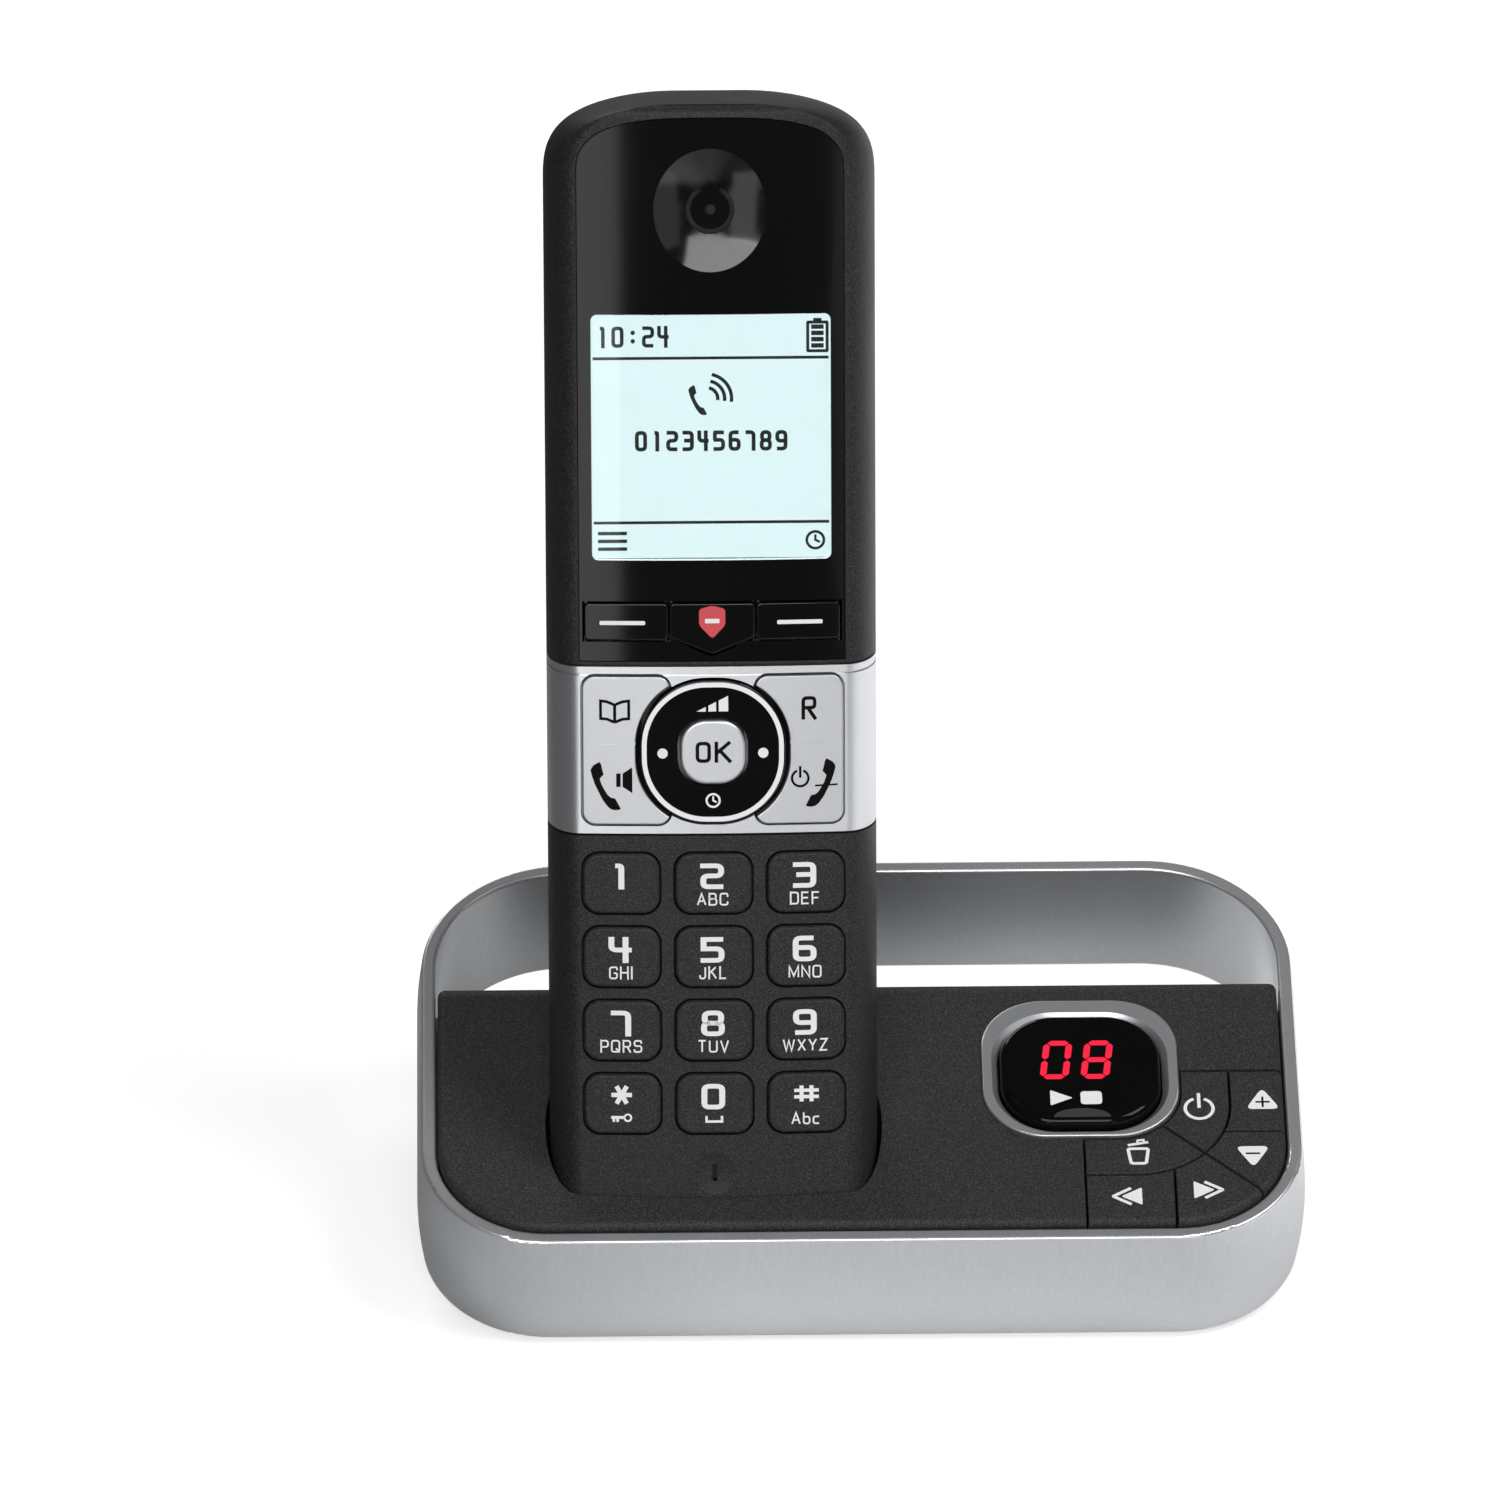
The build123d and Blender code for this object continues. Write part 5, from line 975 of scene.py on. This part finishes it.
class PHONE_OT_screen(bpy.types.Operator):
    """Light the display and draw its clock, battery, call sign and number"""

    bl_idname = "phone.screen"
    bl_label = "Light the display"

    def execute(self, context):
        depth = sizes().screen_depth
        ground = Print().box(-17.6, 100.4, 17.6, 137.3)
        lay("screen_ground", ground, on_screen(depth), "handset", "screen")
        ink = Print()
        digit_row(ink, "10:24", -15.6, 133.3, width=1.75, height=3.1, line=0.52, gap=0.45)
        for low in (129.95, 105.8):
            ink.box(-17.0, low, 17.0, low + 0.42)
        ink.stroke([(14.0, 131.1), (16.8, 131.1), (16.8, 135.3), (14.0, 135.3)], 0.44, 0.1, closed=True)
        ink.box(14.8, 135.4, 16.0, 135.9)
        for step in range(4):
            low = 131.55 + step * 0.92
            ink.box(14.5, low, 16.3, low + 0.65)
        ink.add(receiver().moved(-1.9, 124.0, 0.62))
        for radius in (1.6, 2.6, 3.6):
            ink.arc(-0.6, 124.2, radius, -8, 78, 0.5)
        digit_row(ink, "0123456789", -10.1, 118.0, width=1.75, height=3.0, line=0.56, gap=0.5)
        for step in range(3):
            low = 101.9 + step * 1.15
            ink.box(-16.4, low, -12.2, low + 0.5)
        ink.add(clock_sign().moved(15.0, 103.3, 1.3))
        lay("screen_signs", ink, on_screen(depth - sizes().screen_gap), "handset", "screen ink")
        return {"FINISHED"}


class PHONE_OT_deck_prints(bpy.types.Operator):
    """Print the signs on the deck keys and the lens, and light the counter"""

    bl_idname = "phone.deck_prints"
    bl_label = "Print deck keys"

    def execute(self, context):
        size = sizes()
        deck = on_deck(size.deck_rise)
        plus, minus = (59.05, 26.5), (57.2, 15.3)
        prints = {
            "power_key": mains_sign(2.05, 0.5).moved(49.68, 24.85),
            "plus_key": triangle(1).moved(*plus),
            "minus_key": triangle(-1).moved(*minus),
            "delete_key": waste_bin().moved(40.4, 16.0),
            "rewind_key": double_arrow(1).moved(38.35, 7.35),
            "forward_key": double_arrow(-1).moved(50.55, 8.5),
        }
        for key, drawing in prints.items():
            lay("legend_" + key, drawing, deck, key, "white")
        over = on_deck(size.deck_rise + size.overprint)
        cross = Print().bar(-1.05, -0.45, 1.05, -0.45, 0.3).bar(0, -1.5, 0, 0.6, 0.3)
        lay("legend_plus_sign", cross.moved(*plus), over, "plus_key", "dark")
        dash = Print().bar(-1.05, 0.4, 1.05, 0.4, 0.3)
        lay("legend_minus_sign", dash.moved(*minus), over, "minus_key", "dark")
        lens = on_deck(size.lens_rise)
        counter = Print()
        for sign, x in (("0", 28.9), ("8", 34.9)):
            segment_digit(counter, sign, x, 33.5, width=3.3, height=6.8, line=0.95, slant=0.12)
        lay("counter_digits", counter, lens, "play_stop_lens", "counter")
        signs = Print().shape(rounded([(27.8, 27.4), (27.8, 24.3), (31.1, 25.8)], 0.25))
        signs.box(32.25, 24.5, 35.4, 27.1, 0.6)
        lay("legend_lens", signs, lens, "play_stop_lens", "white")
        # Painted highlight: a lighter grey half-moon for the light caught in the lens's finger recess.
        turns = [pi * step / 20 for step in range(21)]
        notch = Print().shape((4.2 * cos(turn), 1.75 * sin(turn)) for turn in turns).moved(32.4, 21.95)
        lay("finger_notch_highlight", notch, lens, "play_stop_lens", "notch")
        return {"FINISHED"}


class PHONE_OT_stage(bpy.types.Operator):
    """Set up floor, lamps, world and camera"""

    bl_idname = "phone.stage"
    bl_label = "Set up the stage"

    def execute(self, context):
        self.floor(context)
        self.lamps(context)
        self.world(context)
        self.camera(context)
        context.scene.view_settings.view_transform = "Standard"
        return {"FINISHED"}

    def floor(self, context):
        """Floor under the base."""
        reach = 4.0
        corners = [(-reach, -reach, 0), (reach, -reach, 0), (reach, reach, 0), (-reach, reach, 0)]
        mesh = bpy.data.meshes.new("floor")
        mesh.from_pydata(corners, [], [(0, 1, 2, 3)])
        mesh.materials.append(pale_floor("pale floor"))
        floor = bpy.data.objects.new("floor", mesh)
        context.scene.collection.objects.link(floor)

    def lamps(self, context):
        """Area lamps: name, place, aim, width, height and power."""
        body, face = (0, 0, 0.06), (-0.02, 0, 0.11)
        lamps = (
            ("key_lamp", (1.15, -0.55, 1.75), body, 0.9, 0.9, 21.0),
            ("front_lamp", (-0.3, -2.3, 1.45), body, 1.5, 1.1, 38.0),
            ("left_panel", (-0.3, -1.4, 0.26), face, 0.2, 0.75, 0.8),
            ("right_panel", (0.38, -1.38, 0.28), face, 0.2, 0.75, 0.36),
            ("rear_lamp", (-0.5, 1.6, 1.0), body, 0.8, 0.6, 7.0),
        )
        for name, place, aim, width, height, power in lamps:
            data = bpy.data.lights.new(name, "AREA")
            data.shape = "RECTANGLE"
            data.size = width
            data.size_y = height
            data.energy = power
            lamp = bpy.data.objects.new(name, data)
            lamp.location = place
            lamp.rotation_euler = (Vector(aim) - Vector(place)).to_track_quat("-Z", "Y").to_euler()
            context.scene.collection.objects.link(lamp)

    def world(self, context):
        """White to the camera and through clear parts, dim to reflections and as light."""
        world = bpy.data.worlds.new("studio")
        world.use_nodes = True
        studio = Nodes(world.node_tree)
        ground = studio.tree.nodes["Background"]
        studio.feed(ground.inputs["Color"], (1, 1, 1))
        seen, through, shine, spread = (
            studio.node("ShaderNodeLightPath", output=name)
            for name in ("Is Camera Ray", "Is Transmission Ray", "Is Glossy Ray", "Is Diffuse Ray")
        )
        mirrored, ambient = 0.07, 0.06
        studio.feed(ground.inputs["Strength"], seen + through + shine * mirrored + spread * ambient)
        context.scene.world = world

    def camera(self, context):
        """Camera fitted to edges measured in the photograph."""
        data = bpy.data.cameras.new("camera")
        data.sensor_width = 36.0
        data.lens = 328.7
        data.clip_end = 50.0
        distance = 2.0
        tilt, turn, roll = radians(29.11), radians(-1.101), radians(0.067)
        aim = Vector((-0.016071, 0, 0.08029))
        back = Vector((sin(turn) * cos(tilt), -cos(turn) * cos(tilt), sin(tilt)))
        right = Vector((cos(turn), sin(turn), 0))
        top = back.cross(right)
        side = right * cos(roll) + top * sin(roll)
        head = top * cos(roll) - right * sin(roll)
        basis = Matrix((side, head, back)).transposed().to_4x4()
        camera = bpy.data.objects.new("camera", data)
        camera.matrix_world = Matrix.Translation(aim + back * distance) @ basis
        context.scene.collection.objects.link(camera)
        context.scene.camera = camera


class PHONE_PT_panel(bpy.types.Panel):
    """Steps that finish the phone, with their sizes and colours"""

    bl_label = "Cordless phone"
    bl_idname = "PHONE_PT_panel"
    bl_space_type = "VIEW_3D"
    bl_region_type = "UI"
    bl_category = "Phone"

    def draw(self, context):
        for step in STEPS:
            self.layout.operator(step)
        for group in (sizes(), colours()):
            box = self.layout.box()
            for name in group.bl_rna.properties.keys():
                if name not in {"rna_type", "name"}:
                    box.prop(group, name)


STEPS = (
    "phone.finishes", "phone.number_prints", "phone.band_prints", "phone.soft_prints", "phone.screen",
    "phone.deck_prints", "phone.stage",
)
CLASSES = (
    PhoneSizes, PhoneColours, PHONE_OT_finishes, PHONE_OT_number_prints, PHONE_OT_band_prints,
    PHONE_OT_soft_prints, PHONE_OT_screen, PHONE_OT_deck_prints, PHONE_OT_stage, PHONE_PT_panel,
)


def register():
    for item in CLASSES:
        bpy.utils.register_class(item)
    bpy.types.Scene.phone_sizes = PointerProperty(type=PhoneSizes)
    bpy.types.Scene.phone_colours = PointerProperty(type=PhoneColours)


def unregister():
    del bpy.types.Scene.phone_sizes
    del bpy.types.Scene.phone_colours
    for item in reversed(CLASSES):
        bpy.utils.unregister_class(item)


def main():
    register()
    for step in STEPS:
        group, name = step.split(".")
        getattr(getattr(bpy.ops, group), name)()


if __name__ == "__main__":
    main()
